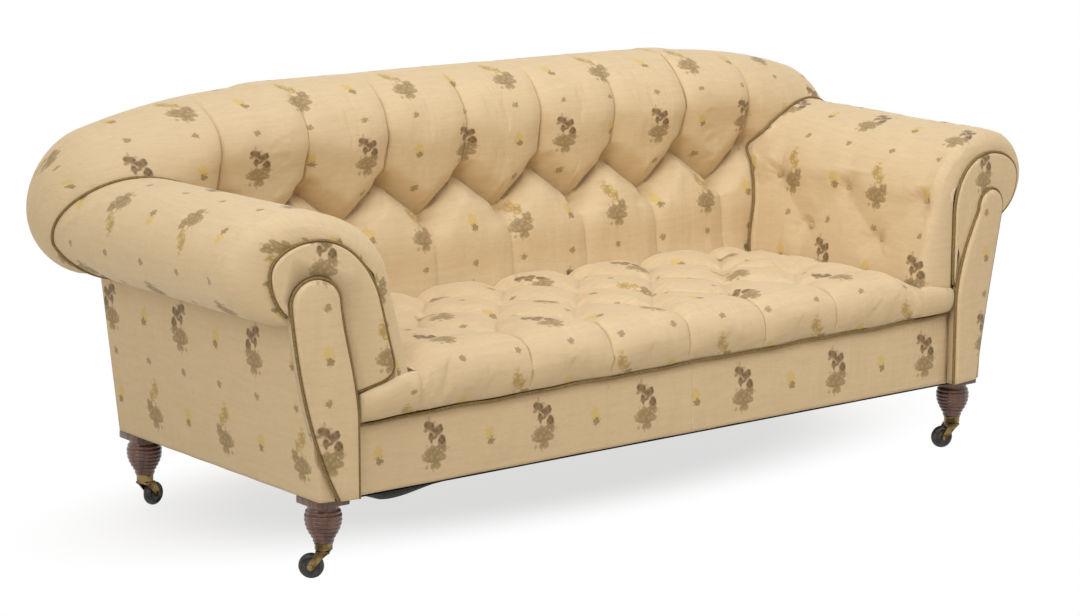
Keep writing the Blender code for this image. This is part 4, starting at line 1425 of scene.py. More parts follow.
    def build(self) -> None:
        """Makes the seat, its buttons, the cord and the border."""
        main = gathered(self.reach, self.sections, self.sofa.back.pitch / 2, self.gather, self.shift)
        start = self.reach + 0.0015
        lips = [np.linspace(start, end.reach, self.lip_sections) for end in (self.left, self.right)]
        xs = np.concatenate([-lips[0][::-1], main, lips[1]])
        flat = np.stack([self.section(float(x)) for x in xs])
        over = lengths(flat[len(xs) // 2])
        u, v = np.broadcast_arrays(xs[:, None], over)
        tufting = self.tufting(float(over[self.nose_points - 1]))
        index, reach = np.arange(flat.shape[1]), np.abs(xs)[:, None]
        shown = index < self.nose_points + self.top_points + self.back_points - 3
        free = shown & (reach < self.reach - 0.002) & (index > 1)
        places, out = self.stuffed(
            "seat",
            self.sofa.laid_out(xs, flat),
            np.stack([u, v], -1) - np.array(self.origin),
            tufting.depth(u, v) * shown * (reach <= self.reach) * smooth(index / 6.0),
            np.where(free, tufting.held(u, v), 1.0),
            (len(xs) // 2, self.nose_points + 30),
            self.settle,
        )
        spots = np.array(tufting.buttons)
        i = np.abs(xs[:, None] - spots[:, 0]).argmin(0)
        j = np.abs(over[:, None] - spots[:, 1]).argmin(0)
        self.shop.buttons("seat_buttons", places[i, j] + self.button_lift * out[i, j], out[i, j], self.button)
        self.piping()
        self.border()

    def piping(self) -> None:
        """Makes the cord along the seam."""
        x = np.linspace(-self.left.reach, self.right.reach, 150)
        y = np.full_like(x, self.sofa.front - self.sofa.cord - 0.0045)
        self.shop.cord("seat_piping", np.stack([x, y, self.seam(x)], -1), self.sofa.cord, ["seat_cord"])

    def border(self) -> None:
        """Makes the border below the seam, with closer sections at its joins."""
        joins = [join + step for join in self.joins for step in self.join_steps]
        even = np.linspace(-self.left.border, self.right.border, self.border_sections)
        t = np.linspace(0, 1, self.border_points)
        low, front = self.sofa.back.underside, self.sofa.front + 0.0006
        behind = self.sofa.front + self.sofa.cover - 0.0006
        rings = []
        for x in np.sort(np.concatenate([even, joins])):
            end = self.left if x < 0 else self.right
            top = float(self.seam(x)) - self.sofa.cord - 0.0005
            raised = mix(top, end.top - 0.003, float(smooth((abs(x) - end.border + 0.030) / 0.008)))
            z = mix(raised, low, t)
            down = np.clip((top - z) / (top - low), 0, 1)
            puff = self.border_puff + self.border_ripple * np.sin(19 * x + 4 * down)
            near = max(0.0, 1 - min(abs(x - join) for join in self.joins) / self.join_width)
            belly = puff * np.sin(math.pi * down) - self.join_dent * near
            y = front - belly - self.border_ripple * np.sin(31 * x) * t
            face = np.stack([np.full_like(z, x), y, z], -1)
            rings.append(np.concatenate([face, [(x, behind, low), (x, behind, raised), face[0]]]))
        places = np.stack(rings)
        cloth = places[..., ::2] - np.array(self.border_origin)
        self.shop.cover("seat_border", places, cloth, "front_border")


class Side(Enum):
    """Which arm."""

    LEFT = -1
    RIGHT = 1


@dataclass(frozen=True)
class ArmSizes:
    """Sizes of an arm, as reaches and heights."""

    face: float = 0.610
    bottom: float = 0.330
    turn: float = 0.647
    turn_height: float = 0.504
    crown: float = 0.826
    height: float = 0.644
    roll: float = 0.948
    roll_height: float = 0.549
    edge: float = 0.034
    core_inside: float = 0.692
    core_outside: float = 0.868
    core_top: float = 0.569
    straighten: float = 0.190
    rows: Pair = (0.430, 0.515)
    lower: tuple[float, ...] = (0.150, 0.345)
    upper: tuple[float, ...] = (0.055, 0.250, 0.448)
    lean: float = 0.060
    panel_inside: float = 0.730
    panel_foot: float = 0.768
    panel_head: float = 0.0455
    head_reach: float = 0.8055
    head_height: float = 0.492
    inner_handles: tuple[Pair, Pair] = ((0.734, 0.370), (0.756, 0.432))
    outer_handles: tuple[Pair, Pair] = ((0.844, 0.400), (0.824, 0.255))
    panel: float = 0.020
    facing: float = 0.009
    front_foot: float = 0.644
    front_turn: float = 0.681
    crown_handles: tuple[Pair, Pair] = ((0.690, 0.530), (0.727, 0.6025))
    scroll_middle: float = 0.800
    scroll_half_width: float = 0.0857
    scroll_top: float = 0.6025
    scroll_height: float = 0.543
    scroll_drop: float = 0.095
    facing_foot: float = 0.3280
    foot_handles: tuple[Pair, Pair] = ((0.700, 0.3395), (0.668, 0.3465))
    lift: float = -0.004


ARMS = {
    Side.LEFT: ArmSizes(),
    Side.RIGHT: replace(
        ArmSizes(),
        panel_inside=0.702,
        panel_foot=0.777,
        panel_head=0.0400,
        head_reach=0.812,
        inner_handles=((0.700, 0.375), (0.738, 0.440)),
        outer_handles=((0.840, 0.430), (0.797, 0.280)),
        front_foot=0.697,
        front_turn=0.698,
        crown_handles=((0.700, 0.545), (0.735, 0.6060)),
        scroll_middle=0.815,
        scroll_half_width=0.0975,
        scroll_top=0.6060,
        scroll_height=0.545,
        scroll_drop=0.083,
        facing_foot=0.3360,
        foot_handles=((0.710, 0.3370), (0.704, 0.3400)),
        lift=0.011,
    ),
}


@dataclass
class Arm(Upholstery):
    """One arm: its buttoned inside and roll, facing, front panel, outside cover and piping."""

    back: BackRest
    side: Side
    outline_points: tuple[int, int, int] = (44, 64, 70)
    core_points: int = 14
    nose_sections: int = 10
    sections: int = 118
    top_point: int = 96
    gap: float = 0.0030
    bed: float = 0.009
    phases: ClassVar[dict[Side, float]] = {Side.LEFT: -0.0545, Side.RIGHT: -0.1015}
    cloth_rise: float = 0.040
    board_origin: Pair = (0.789, 0.569)
    diamond: tuple[Pleat, ...] = (((0.008, 0.007), 0.060),)
    over_roll: tuple[Pleat, ...] = (((0.008, 0.001), 0.050),)
    to_seat: tuple[Pleat, ...] = (((0.006, 0.002), 0.045),)
    diamond_reach: float = 0.13
    roll_fold: float = 0.12
    seat_fold: float = 0.01
    pull: float = 0.025
    pull_spread: float = 0.062
    settle: Pair = (0.010, 0.003)
    button: float = 0.0075
    button_lift: float = 0.001
    panel_puff: tuple[Pair, ...] = ((0.0010, 0.0022), (0.0020, 0.0020), (0.0035, 0.0014), (0.0050, 0.0007))
    facing_puff: tuple[Pair, ...] = ((0.0008, 0.0015), (0.0016, 0.0012), (0.0030, 0.0006))
    post_puff: tuple[Pair, ...] = ((0.0015, 0.0008),)
    corner: float = 0.005
    shoulder_drop: float = 0.010
    core_lead: Pair = (0.008, 0.006)
    core_rise: float = 0.048
    core_corner: float = 0.035
    lift_margin: float = 0.05
    joint_gap: float = 0.0008
    front_ease: float = 0.03
    rear_ease: float = 5.0
    roll_share: float = 0.62
    roll_ease: float = 0.06
    outside_points: int = 44
    outside_sections: int = 84
    panel_foot_points: int = 24
    panel_bend: float = 0.290
    panel_cord: float = 0.011
    facing_bend: float = 0.382
    facing_lead: float = 0.026
    facing_inset: float = 0.012
    post_margin: float = 0.016
    post_inset: float = 0.006
    post_bend: float = 0.340
    post_rear: Pair = (0.8120, 0.4300)
    post_foot: float = 0.7880
    post_depth: float = 0.030
    joint_cord: Pair = (0.0020, 0.0035)
    outside_belly: float = 0.0040
    outside_ripple: float = 0.0007
    outside_cloth: float = 0.0034
    outside_origin: Pair = (0.030, 0.387)

    def __post_init__(self) -> None:
        """Keeps its sizes, its name and the Y that its front is built on."""
        self.size = ARMS[self.side]
        self.name = self.side.name.lower()
        self.seat_y = self.sofa.front + self.sofa.cover - 0.0003

    def world(self, s: Array, y: Array, z: Array) -> Array:
        """Places from reaches."""
        return np.stack(np.broadcast_arrays(self.side.value * np.asarray(s), y, z), -1)

    def stretches(self, face: Sequence[Pair], over: Array, under: Array) -> Array:
        """Joins the inside, the top and the roll of a section, each with its own number of points.

        Args:
            face: The two ends of the inside.
            over: The curve up to the crown.
            under: The curve round the roll.

        Returns:
            The joined points.
        """
        lines = zip((face, over, under), self.outline_points)
        parts = [spaced(np.array(line), count) for line, count in lines]
        return np.concatenate([parts[0], parts[1][1:], parts[2][1:]])

    def outline(self) -> Array:
        """Returns: the arm's section from the seat up over the crown and under the roll."""
        a = self.size
        face = [(a.face, a.bottom), (a.turn, a.turn_height)]
        over = arc((a.crown, a.turn_height), (a.crown - a.turn, a.height - a.turn_height), 180, 90, 60)
        under = arc((a.crown, a.roll_height), (a.roll - a.crown, a.height - a.roll_height), 90, -90, 90)
        return self.stretches(face, over, under)

    def front_line(self) -> Array:
        """Returns: where the front of the arm meets its facing, point for point as the section behind it."""
        a = self.size
        centre, wide = (a.scroll_middle, a.scroll_height), a.scroll_half_width
        shoulder = a.turn_height - self.shoulder_drop
        face = [(a.front_foot, a.bottom), (a.front_turn, shoulder)]
        crown = [(a.front_turn, shoulder), *a.crown_handles, (centre[0], a.scroll_top)]
        upper = arc(centre, (wide, a.scroll_top - a.scroll_height), 90, 0, 45)
        lower = arc(centre, (wide, a.scroll_drop), 0, -70, 45)
        return self.stretches(face, bezier(crown, 60), np.concatenate([upper, lower[1:]]))

    def core(self) -> Array:
        """Returns: the hollow round the frame, from under the roll down to the seat."""
        a, last = self.size, self.outline()[-1]
        line = [
            last,
            (last[0] - self.core_lead[0], last[1] + self.core_lead[1]),
            (a.core_outside, last[1] + self.core_rise),
            (a.core_outside, a.core_top),
            (a.core_inside + self.core_corner, a.core_top),
            (a.core_inside, a.core_top - self.core_corner),
            (a.core_inside, a.bottom),
            (a.face, a.bottom),
        ]
        return spaced(np.array(line), self.core_points)

    def tufting(self) -> Tufting:
        """Returns: the buttons and pleats, by depth and distance up the cover."""
        a, line = self.size, self.outline()
        rise = [float(np.interp(z, line[:80, 1], lengths(line)[:80])) for z in a.rows]
        lower, upper = [(d, rise[0]) for d in a.lower], [(d, rise[1]) for d in a.upper]
        folds = []
        for spot in upper:
            for other in lower:
                if abs(spot[0] - other[0]) < self.diamond_reach:
                    folds += pleats(spot, other, self.diamond)
            folds += pleats(spot, (spot[0], rise[1] + self.roll_fold), self.over_roll)
        for spot in lower:
            folds += pleats(spot, (spot[0], self.seat_fold), self.to_seat)
        return Tufting(tuple(lower + upper), tuple(folds), self.pull, self.pull_spread)

    def build(self) -> None:
        """Makes every piece of the arm."""
        self.pad()
        self.post()
        outline = self.panel_outline()
        self.panel(outline)
        self.facing(outline)
        self.outside(outline)

    def rings(self, line: Array) -> tuple[Array, Array]:
        """Sections of the stuffed arm from its front to the back.

        Args:
            line: The arm's own section.

        Returns:
            Reaches and heights of their points, and the depth of each point.
        """
        a, frame = self.size, self.sofa.cover
        front, core = self.front_line(), self.core()[1:]
        ring = np.concatenate([line, core])
        span = a.height - a.turn_height + self.lift_margin
        rise = np.clip((ring[:, 1] - a.turn_height + self.lift_margin) / span, 0, 1)
        tall = ring + np.stack([0 * rise, a.lift * rise * (np.arange(len(ring)) < len(line))], -1)
        ends = self.back.front_at(tall[:, 0], tall[:, 1]) - self.joint_gap
        rings, depths = [], []
        for turn in np.radians(np.linspace(0, 90, self.nose_sections)):
            taken = 1 - math.sin(turn)
            soft = mix(line, front, taken)
            inner = core[:-1].copy()
            inner[:, 0] = np.maximum(inner[:, 0], soft[0, 0] + 0.004 * taken)
            rings.append(np.concatenate([soft, inner, soft[:1]]))
            depths.append(np.full(len(ring), frame + a.edge * (1 - math.cos(turn))))
        for t in np.linspace(0, 1, self.sections)[1:]:
            rings.append(mix(ring, tall, t))
            depths.append(mix(frame + a.edge, ends, t))
        return np.stack(rings), np.stack(depths)

    def pad(self) -> None:
        """Makes the stuffed arm, its buttons and the cord where it meets the back."""
        a, sofa, nose = self.size, self.sofa, self.nose_sections
        line = self.outline()
        flat, d = self.rings(line)
        straight = np.clip(1 - np.maximum(d - a.edge, 0) / a.straighten, 0, 1)
        y = sofa.at_depth(d) + sofa.splay(flat[..., 0]) * straight
        places = self.world(flat[..., 0], y, flat[..., 1])
        count, along = len(line), lengths(line)
        v = np.broadcast_to(np.pad(along, (0, d.shape[1] - count), "edge"), d.shape)
        step, index = np.arange(len(d))[:, None], np.arange(d.shape[1])
        shown = index < count
        tufting = self.tufting()
        rear = smooth((len(d) - step) / self.rear_ease)
        ease = smooth((d - sofa.cover) / self.front_ease) * smooth(index / 4.0)
        ease = ease * smooth((along[-1] * self.roll_share - v) / self.roll_ease)
        crown = sum(self.outline_points[:2]) - 2
        bend = lengths(places[:nose, crown])
        u = sofa.at_depth(d)
        u[:nose] += (a.edge - (d[:nose, crown] - sofa.cover) - bend[-1] + bend)[:, None]
        free = shown & (index > 2) & (step > nose - 3) & (rear > 0.9)
        places, out = self.stuffed(
            f"{self.name}_arm",
            places,
            np.stack([-self.side.value * (u - self.phases[self.side]), v - self.cloth_rise], -1),
            tufting.depth(d, v) * shown * ease * rear,
            np.where(free, tufting.held(d, v), 1.0),
            (self.sections // 2, self.top_point),
            self.settle,
        )
        spots = np.array(tufting.buttons)
        i = np.abs(d[:, 40][:, None] - spots[:, 0]).argmin(0)
        j = np.abs(along[:, None] - spots[:, 1]).argmin(0)
        sewn = places[i, j] + self.button_lift * out[i, j]
        self.shop.buttons(f"{self.name}_arm_buttons", sewn, out[i, j], self.button)
        proud, forward = self.joint_cord
        edge = places[-1, 4 : count - 2] + proud * out[-3, 4 : count - 2]
        edge[:, 1] -= forward
        self.shop.cord(f"{self.name}_back_piping", edge, sofa.cord)

    def panel_outline(self) -> Array:
        """Returns: the front panel's outline, from its inside foot round its head to its outside foot."""
        a = self.size
        head, foot = (a.head_reach, a.head_height), self.sofa.back.underside + 0.001
        left, right = (head[0] - a.panel_head, head[1]), (head[0] + a.panel_head, head[1])
        bend = (a.panel_inside, self.panel_bend)
        inner = bezier([bend, *a.inner_handles, left], 16)
        over = arc(head, (a.panel_head, a.panel_head), 180, 0, 24)
        outer = bezier([right, *a.outer_handles, (a.panel_foot, foot)], self.panel_foot_points)
        start = spaced(np.array([(a.panel_inside, foot), bend]), 10)
        return np.concatenate([start, inner[1:], over[1:], outer[1:]])

    def facing_line(self) -> Array:
        """Returns: where the facing's cord runs, from beside the panel round the scroll and back to it."""
        a, line = self.size, moved_in(self.front_line(), self.gap)
        first = int(np.argmax(line[:, 1] > self.facing_bend))
        way = line[first + 1] - line[first]
        rise = line[first] - self.facing_lead * way / np.linalg.norm(way)
        corner = bezier([*a.foot_handles, rise, line[first]], 14)
        foot = (a.panel_inside + self.facing_inset, a.facing_foot)
        return np.concatenate([[foot], corner, line[first + 1 :]])

    def board(self, outline: Array, front: float, back: float, puff: Sequence[Pair]) -> Mesh:
        """A board on the front of the arm, with a softened face.

        Args:
            outline: Its edge, as reaches and heights.
            front: Y of its edge's front.
            back: Y of its back.
            puff: How far each step of the face is set in and stands out.

        Returns:
            The mesh, turned as the arm's front is.
        """
        bm = bmesh.new()
        edge = [bm.verts.new((self.side.value * s, back, z)) for s, z in outline]
        face = bm.faces.new(edge)
        raised = bmesh.ops.extrude_face_region(bm, geom=[face], use_keep_orig=True)["geom"]
        corners = [part for part in raised if isinstance(part, bmesh.types.BMVert)]
        bmesh.ops.translate(bm, vec=(0, front - back, 0), verts=corners)
        top = [part for part in raised if isinstance(part, bmesh.types.BMFace)]
        bmesh.ops.recalc_face_normals(bm, faces=bm.faces)
        for step, depth in puff:
            bmesh.ops.inset_region(
                bm, faces=top, thickness=step, depth=depth, use_even_offset=True, use_boundary=True
            )
        for vert in bm.verts:
            vert.co.y += self.sofa.splay(abs(vert.co.x))
        return bm

    def laid(self, bm: Mesh) -> Mesh:
        """Lays the cloth's pattern straight on the front of the arm.

        Args:
            bm: A mesh.

        Returns:
            The same mesh.
        """
        layer = bm.loops.layers.uv.new(CLOTH_MAP)
        reach, height = self.board_origin
        for face in bm.faces:
            for loop in face.loops:
                loop[layer].uv = (loop.vert.co.x - self.side.value * reach, loop.vert.co.z - height)
        return bm

    def post(self) -> None:
        """Makes the board inside the front of the arm."""
        node = f"{self.name}_front_post"
        low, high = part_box(node)
        scroll = moved_in(self.front_line(), self.post_margin)[60::12]
        inside = self.size.panel_inside + self.post_inset
        foot = [(inside, low.z), (inside, self.post_bend)]
        rear = [self.post_rear, (self.post_foot, low.z)]
        outline = np.concatenate([foot, scroll, rear])
        front, back = self.seat_y + self.bed + 0.0004, min(high.y, self.seat_y + self.post_depth)
        bm = self.board(outline, front, back, self.post_puff)
        self.shop.piece(node.replace("front", "scroll"), bm, BEECH, [node])

    def panel(self, outline: Array) -> None:
        """Makes the padded panel on the post and its cord.

        Args:
            outline: Its outline.
        """
        slim = moved_in(outline, self.gap)
        slim[0, 1] = slim[-1, 1] = outline[0, 1]
        front = self.seat_y - self.size.panel + sum(depth for _, depth in self.panel_puff)
        bm = self.laid(self.board(slim, front, self.seat_y + self.bed, self.panel_puff))
        self.shop.piece(f"{self.name}_post_panel", bm, CLOTH, [f"{self.name}_front_panel"], FIRM)
        self.front_cord("panel", outline, self.seat_y - self.panel_cord)

    def facing(self, outline: Array) -> None:
        """Makes the scroll facing and its cord, clear of the panel.

        Args:
            outline: The panel's outline.
        """
        wide = moved_in(outline, -self.gap)
        wide[0, 1] = wide[-1, 1] = self.sofa.back.underside - 0.02
        line = self.facing_line()
        front = self.seat_y - self.size.facing + sum(depth for _, depth in self.facing_puff)
        bm = self.board(moved_in(line, self.gap), front, self.seat_y, self.facing_puff)
        cutter = self.board(wide, self.seat_y - 0.06, self.seat_y + 0.01, ())
        bm = self.laid(carved(bm, cutter))
        self.shop.piece(f"{self.name}_scroll_facing", bm, CLOTH, [f"{self.name}_arm_facing"], FIRM)
        sewn = spaced(line, 160)
        self.front_cord("facing", sewn[~within(wide, sewn)], self.seat_y - self.sofa.cord)

    def front_cord(self, part: str, line: Array, y: float) -> None:
        """Makes a cord on the front of the arm."""
        path = self.world(line[:, 0], y + self.sofa.splay(line[:, 0]), line[:, 1])
        self.shop.cord(f"{self.name}_{part}_piping", path, self.sofa.cord, [f"{self.name}_{part}_cord"])

    def outside(self, outline: Array) -> None:
        """Makes the cover outside the arm, turned round the front corner as far as the panel.

        Args:
            outline: The panel's outline.
        """
        a, sofa, round_off = self.size, self.sofa, self.corner
        low, top = sofa.back.underside, self.outline()[-1, 1] + 0.004
        z = np.linspace(low, top, self.outside_points)
        outer = moved_in(outline, -self.gap - 0.0004)[-self.panel_foot_points :]
        edge = np.interp(z, outer[::-1, 1], outer[::-1, 0])
        corner = sofa.half + a.lean * (z - low)
        shown = smooth((corner - edge) / 0.008)
        edge = np.minimum(edge, corner - 0.003)
        front = mix(self.seat_y + 0.0006, self.seat_y - sofa.cover, shown)
        rear = sofa.at_depth(sofa.outside_depth(z)) - sofa.cover - 0.0005
        belly = self.outside_belly * np.sin(math.pi * (z - low) / (top - low))
        rings = []
        for t in np.linspace(0, 1, 5):
            s = mix(edge, corner - round_off * (corner - edge > 0.006), t)
            rings.append((s, front + sofa.splay(s), self.outside_cloth))
        turned = front + sofa.splay(corner)
        for turn in np.radians(np.linspace(20, 90, 5)):
            s = corner - round_off * (1 - math.sin(turn))
            rings.append((s, turned + round_off * (1 - math.cos(turn)), 0.0))
        for t in np.linspace(0, 1, self.outside_sections)[1:]:
            y = mix(turned + round_off, rear, t)
            swell = belly * math.sin(math.pi * t) ** 0.5
            swell = swell + self.outside_ripple * np.sin(60 * y + 9 * z) * math.sin(math.pi * t)
            rings.append((corner + swell, y, 0.0))
        places = []
        for s, y, behind in rings:
            face = self.world(s, y, z)
            hidden = self.world(np.minimum(s, corner - self.outside_cloth), y + behind, z)
            places.append(np.concatenate([face, hidden[[-1, 0]], face[:1]]))
        grid = np.stack(places)
        start, rise = self.outside_origin
        along = lengths(grid[:, 10]) - (start - grid[0, 10, 1])
        cloth = np.stack(np.broadcast_arrays(along[:, None], grid[..., 2] - rise), -1)
        self.shop.cover(f"{self.name}_side_cover", grid, cloth, f"{self.name}_outside_arm")


def within(outline: Array, points: Array) -> Array:
    """Which points are inside an outline.

    Args:
        outline: Corners as rows.
        points: Points as rows.

    Returns:
        True for each point inside.
    """
    found = np.zeros(len(points), bool)
    x, y = points[:, 0], points[:, 1]
    for (x0, y0), (x1, y1) in zip(outline, np.roll(outline, -1, axis=0)):
        if y0 == y1:
            continue
        crosses = (y0 > y) != (y1 > y)
        found ^= crosses & (x < (x1 - x0) * (y - y0) / (y1 - y0) + x0)
    return found


def carved(bm: Mesh, cutter: Mesh) -> Mesh:
    """Cuts one closed mesh out of another.

    Args:
        bm: What is cut; it is freed.
        cutter: What is taken away; it is freed.

    Returns:
        What is left.
    """
    made = []
    for part in (bm, cutter):
        bmesh.ops.recalc_face_normals(part, faces=part.faces)
        mesh = bpy.data.meshes.new("carving")
        part.to_mesh(mesh)
        part.free()
        made.append(bpy.data.objects.new("carving", mesh))
        bpy.context.collection.objects.link(made[-1])
    step = made[0].modifiers.new("cut", "BOOLEAN")
    step.operation = "DIFFERENCE"
    step.solver = "EXACT"
    step.object = made[1]
    left = bmesh.new()
    left.from_object(made[0], bpy.context.evaluated_depsgraph_get())
    for part in made:
        mesh = part.data
        bpy.data.objects.remove(part)
        bpy.data.meshes.remove(mesh)
    return left


@dataclass
class OutsideBack(Upholstery):
    """The tight cover behind."""

    step: float = 0.480
    sections: int = 150
    origin: Pair = (-0.06, 0.330)
    flare: float = 0.060
    low_inset: float = 0.002
    high_inset: float = 0.008
    belly: float = 0.0040
    cloth: float = 0.0030

    def build(self) -> None:
        """Makes the cover."""
        low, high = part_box("outside_back")
        half = self.sofa.half
        z = np.concatenate([np.linspace(low.z, self.step, 40), np.linspace(self.step + 0.001, high.z, 20)])
        wide = half + self.flare * (z - low.z) - self.low_inset
        reach = np.where(z <= self.step, wide, half - self.high_inset)
        y = self.sofa.at_depth(self.sofa.outside_depth(z)) - 0.0005
        swell = self.belly * np.sin(math.pi * (z - low.z) / (high.z - low.z))
        rings = []
        for t in np.linspace(-1, 1, self.sections):
            face = np.stack([t * reach, y + swell * (1 - t**4), z], -1)
            inner = face[[-1, 0]] - np.array([0, self.cloth, 0])
            rings.append(np.concatenate([face, inner, face[:1]]))
        places = np.stack(rings)
        self.shop.cover("back_cover", places, places[..., ::2] - np.array(self.origin), "outside_back")


# Below the seat


@dataclass(frozen=True)
class LegSizes:
    """Sizes of a leg and its castor, as radii and heights above the leg's foot."""

    foot: float = 0.0139
    sleeve: float = 0.0073
    collar: float = 0.0180
    neck: float = 0.0155
    waist: float = 0.0160
    body: float = 0.0330
    reeds: int = 7
    reed_depth: float = 0.0016
    cap: float = 0.014
    cap_edge: float = 0.0025
    cup_wall: float = 0.0156
    wheel: float = 0.0225
    half_width: float = 0.009
    hub: float = 0.0030
    tread: float = 0.0045
    dish: float = 0.0022
    bore: float = 0.0046


@dataclass
class Legs:
    """Four turned legs with brass cups and dark wheels."""

    shop: Workshop
    size: LegSizes = LegSizes()
    turns: ClassVar[dict[str, int]] = {
        "front_left": 138,
        "front_right": 162,
        "back_left": 18,
        "back_right": 40,
    }
    sides: int = 48

    def turned(self, profile: Sequence[Pair], closed: bool = False) -> Mesh:
        """A form turned about the upright through the origin.

        Args:
            profile: Radii and heights.
            closed: Whether the profile goes round and meets itself.

        Returns:
            The mesh.
        """
        bm = bmesh.new()
        line = [bm.verts.new((r, 0, z)) for r, z in profile]
        pairs = list(zip(line, line[1:])) + ([(line[-1], line[0])] if closed else [])
        edges = [bm.edges.new(pair) for pair in pairs]
        turn = {"cent": (0, 0, 0), "axis": (0, 0, 1), "angle": math.tau, "steps": self.sides}
        bmesh.ops.spin(bm, geom=line + edges, use_merge=True, **turn)
        bmesh.ops.remove_doubles(bm, verts=bm.verts, dist=WELD)
        return bm

    def build(self) -> None:
        """Makes all four."""
        for name in self.turns:
            self.leg(name)
            self.cup(name)
            self.wheel(name)

    def upright(self, name: str, bm: Mesh, slot: str, node: str) -> None:
        """Makes a piece of a form that stands on its CAD node's upright axis.

        Args:
            name: Name of the piece.
            bm: The form, about the origin.
            slot: The record's material slot.
            node: The CAD node.
        """
        low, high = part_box(node)
        bmesh.ops.translate(bm, vec=((low.x + high.x) / 2, (low.y + high.y) / 2, 0), verts=bm.verts)
        self.shop.piece(name, bm, slot, [node])

    def leg(self, name: str) -> None:
        """Makes a leg with reeds round its body, under a square cap.

        Args:
            name: Which leg.
        """
        s, node = self.size, f"{name}_leg"
        low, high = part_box(node)
        foot, cap = low.z, high.z - s.cap
        start, shoulder = foot + s.neck, cap - 0.0095
        profile = [(0.0, foot), (s.foot, foot), (s.foot, foot + s.sleeve), (s.collar, foot + s.sleeve)]
        profile += [(s.collar + 0.001, foot + 0.0105), (s.collar - 0.0005, start - 0.0015)]
        height = (shoulder - start) / s.reeds
        for k in range(s.reeds):
            rise = math.sin(math.pi / 2 * min((k + 0.9) / (0.74 * s.reeds), 1.0))
            wide = mix(s.waist + 0.002, s.body, rise) - 0.0018 * max(0, k + 2 - s.reeds)
            for angle in np.radians(np.linspace(-80, 80, 7)):
                lift = start + height * (k + 0.5 + 0.5 * math.sin(angle))
                profile.append((wide - s.reed_depth * (1 - math.cos(angle)), lift))
        top = high.z - 0.004
        profile += [(0.82 * s.body, shoulder + 0.003), (0.84 * s.body, shoulder + 0.006)]
        profile += [(0.90 * s.body, cap), (0.90 * s.body, top), (0.0, top)]
        bm = self.turned(profile)
        side = high.x - low.x
        spot = Matrix.Translation((0, 0, cap + s.cap / 2)) @ Matrix.Diagonal((side, side, s.cap, 1))
        block = bmesh.ops.create_cube(bm, size=1.0, matrix=spot)["verts"]
        edges = list({edge for vert in block for edge in vert.link_edges})
        bmesh.ops.bevel(
            bm, geom=edges, offset=s.cap_edge, affect="EDGES", segments=3, profile=0.5, material=-1
        )
        self.upright(f"{name}_turned_leg", bm, "mahogany_leg", node)

    def cup(self, name: str) -> None:
        """Makes the brass cup on a leg's foot.

        Args:
            name: Which leg.
        """
        s, node = self.size, f"{name}_castor_cup"
        low, high = (corner.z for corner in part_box(node))
        sleeve, wall = s.foot + 0.0002, s.cup_wall
        profile = [(s.bore, low), (wall - 0.0025, low), (wall - 0.0008, low + 0.0006), (wall, low + 0.0020)]
        profile += [(wall, high - 0.0040), (wall + 0.0009, high - 0.0030), (wall + 0.0012, high - 0.0016)]
        profile += [(wall + 0.0008, high), (sleeve, high), (sleeve, low + 0.0036), (s.bore, low + 0.0036)]
        self.upright(f"{name}_brass_cup", self.turned(profile, closed=True), "brass_castor", node)

    def wheel(self, name: str) -> None:
        """Makes a castor's wheel.

        Args:
            name: Which leg it is under.
        """
        s, node = self.size, f"{name}_castor_wheel"
        low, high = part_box(node)
        half, rim = s.half_width, s.wheel
        shoulder, dish = half - 0.0004, half - s.dish
        side = [(s.hub, half), (0.34 * rim, half), (0.40 * rim, dish), (0.66 * rim, dish)]
        side += [(0.72 * rim, shoulder), (0.80 * rim, shoulder)]
        around = np.radians(np.linspace(75, -75, 13))
        tread = [(rim - s.tread * (1 - math.cos(a)), (half - 0.0014) * math.sin(a)) for a in around]
        bm = self.turned(side + tread + [(r, -h) for r, h in reversed(side)], closed=True)
        turn = Matrix.Rotation(math.radians(self.turns[name]), 4, "Z") @ Matrix.Rotation(math.pi / 2, 4, "X")
        bmesh.ops.transform(bm, matrix=Matrix.Translation((low + high) / 2) @ turn, verts=bm.verts)
        self.shop.piece(f"{name}_dark_wheel", bm, "castor_wheel", [node], body=f"{name}_wheel")


@dataclass
class DustCover:
    """The black cloth tacked under the frame, which hangs lowest at its front left corner."""

    shop: Workshop
    columns: int = 120
    rows: int = 60
    thickness: float = 0.0008
    sag_places: tuple[float, ...] = (0, 0.04, 0.1, 0.25, 0.5, 0.8, 1)
    sag_shares: tuple[float, ...] = (0, 0.8, 1, 0.8, 0.75, 0.5, 0)
    sag: float = 0.010
    corner_sag: float = 0.030
    corner_place: float = -0.88
    corner_size: Pair = (0.085, 0.2)

    def build(self) -> None:
        """Makes the sheet."""
        low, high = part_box("dust_cover")
        reach, length = high.x, high.y - low.y
        t, s = np.meshgrid(np.linspace(0, 1, self.rows), np.linspace(-1, 1, self.columns))
        hang = 1 - s * s
        share = np.interp(t, self.sag_places, self.sag_shares)
        wide, deep = self.corner_size
        corner = np.exp(-(((s - self.corner_place) * reach / wide) ** 2)) * np.minimum(1, 5 * hang)
        corner = corner * np.maximum(0, 1 - t * length / deep)
        creases = 0.0012 * np.sin(34 * s + 5 * t) * np.sin(math.pi * t) * hang
        drop = share * (self.sag * hang + self.corner_sag * corner)
        z = high.z - self.thickness - drop + creases * share
        places = np.stack([s * reach, low.y + t * length, z], -1)
        bm, _ = gridded(places)
        bmesh.ops.recalc_face_normals(bm, faces=bm.faces)
        bmesh.ops.solidify(bm, geom=bm.faces, thickness=self.thickness)
        made = self.shop.piece("under_cloth", bm, "black_linen", ["dust_cover"])


# Stage


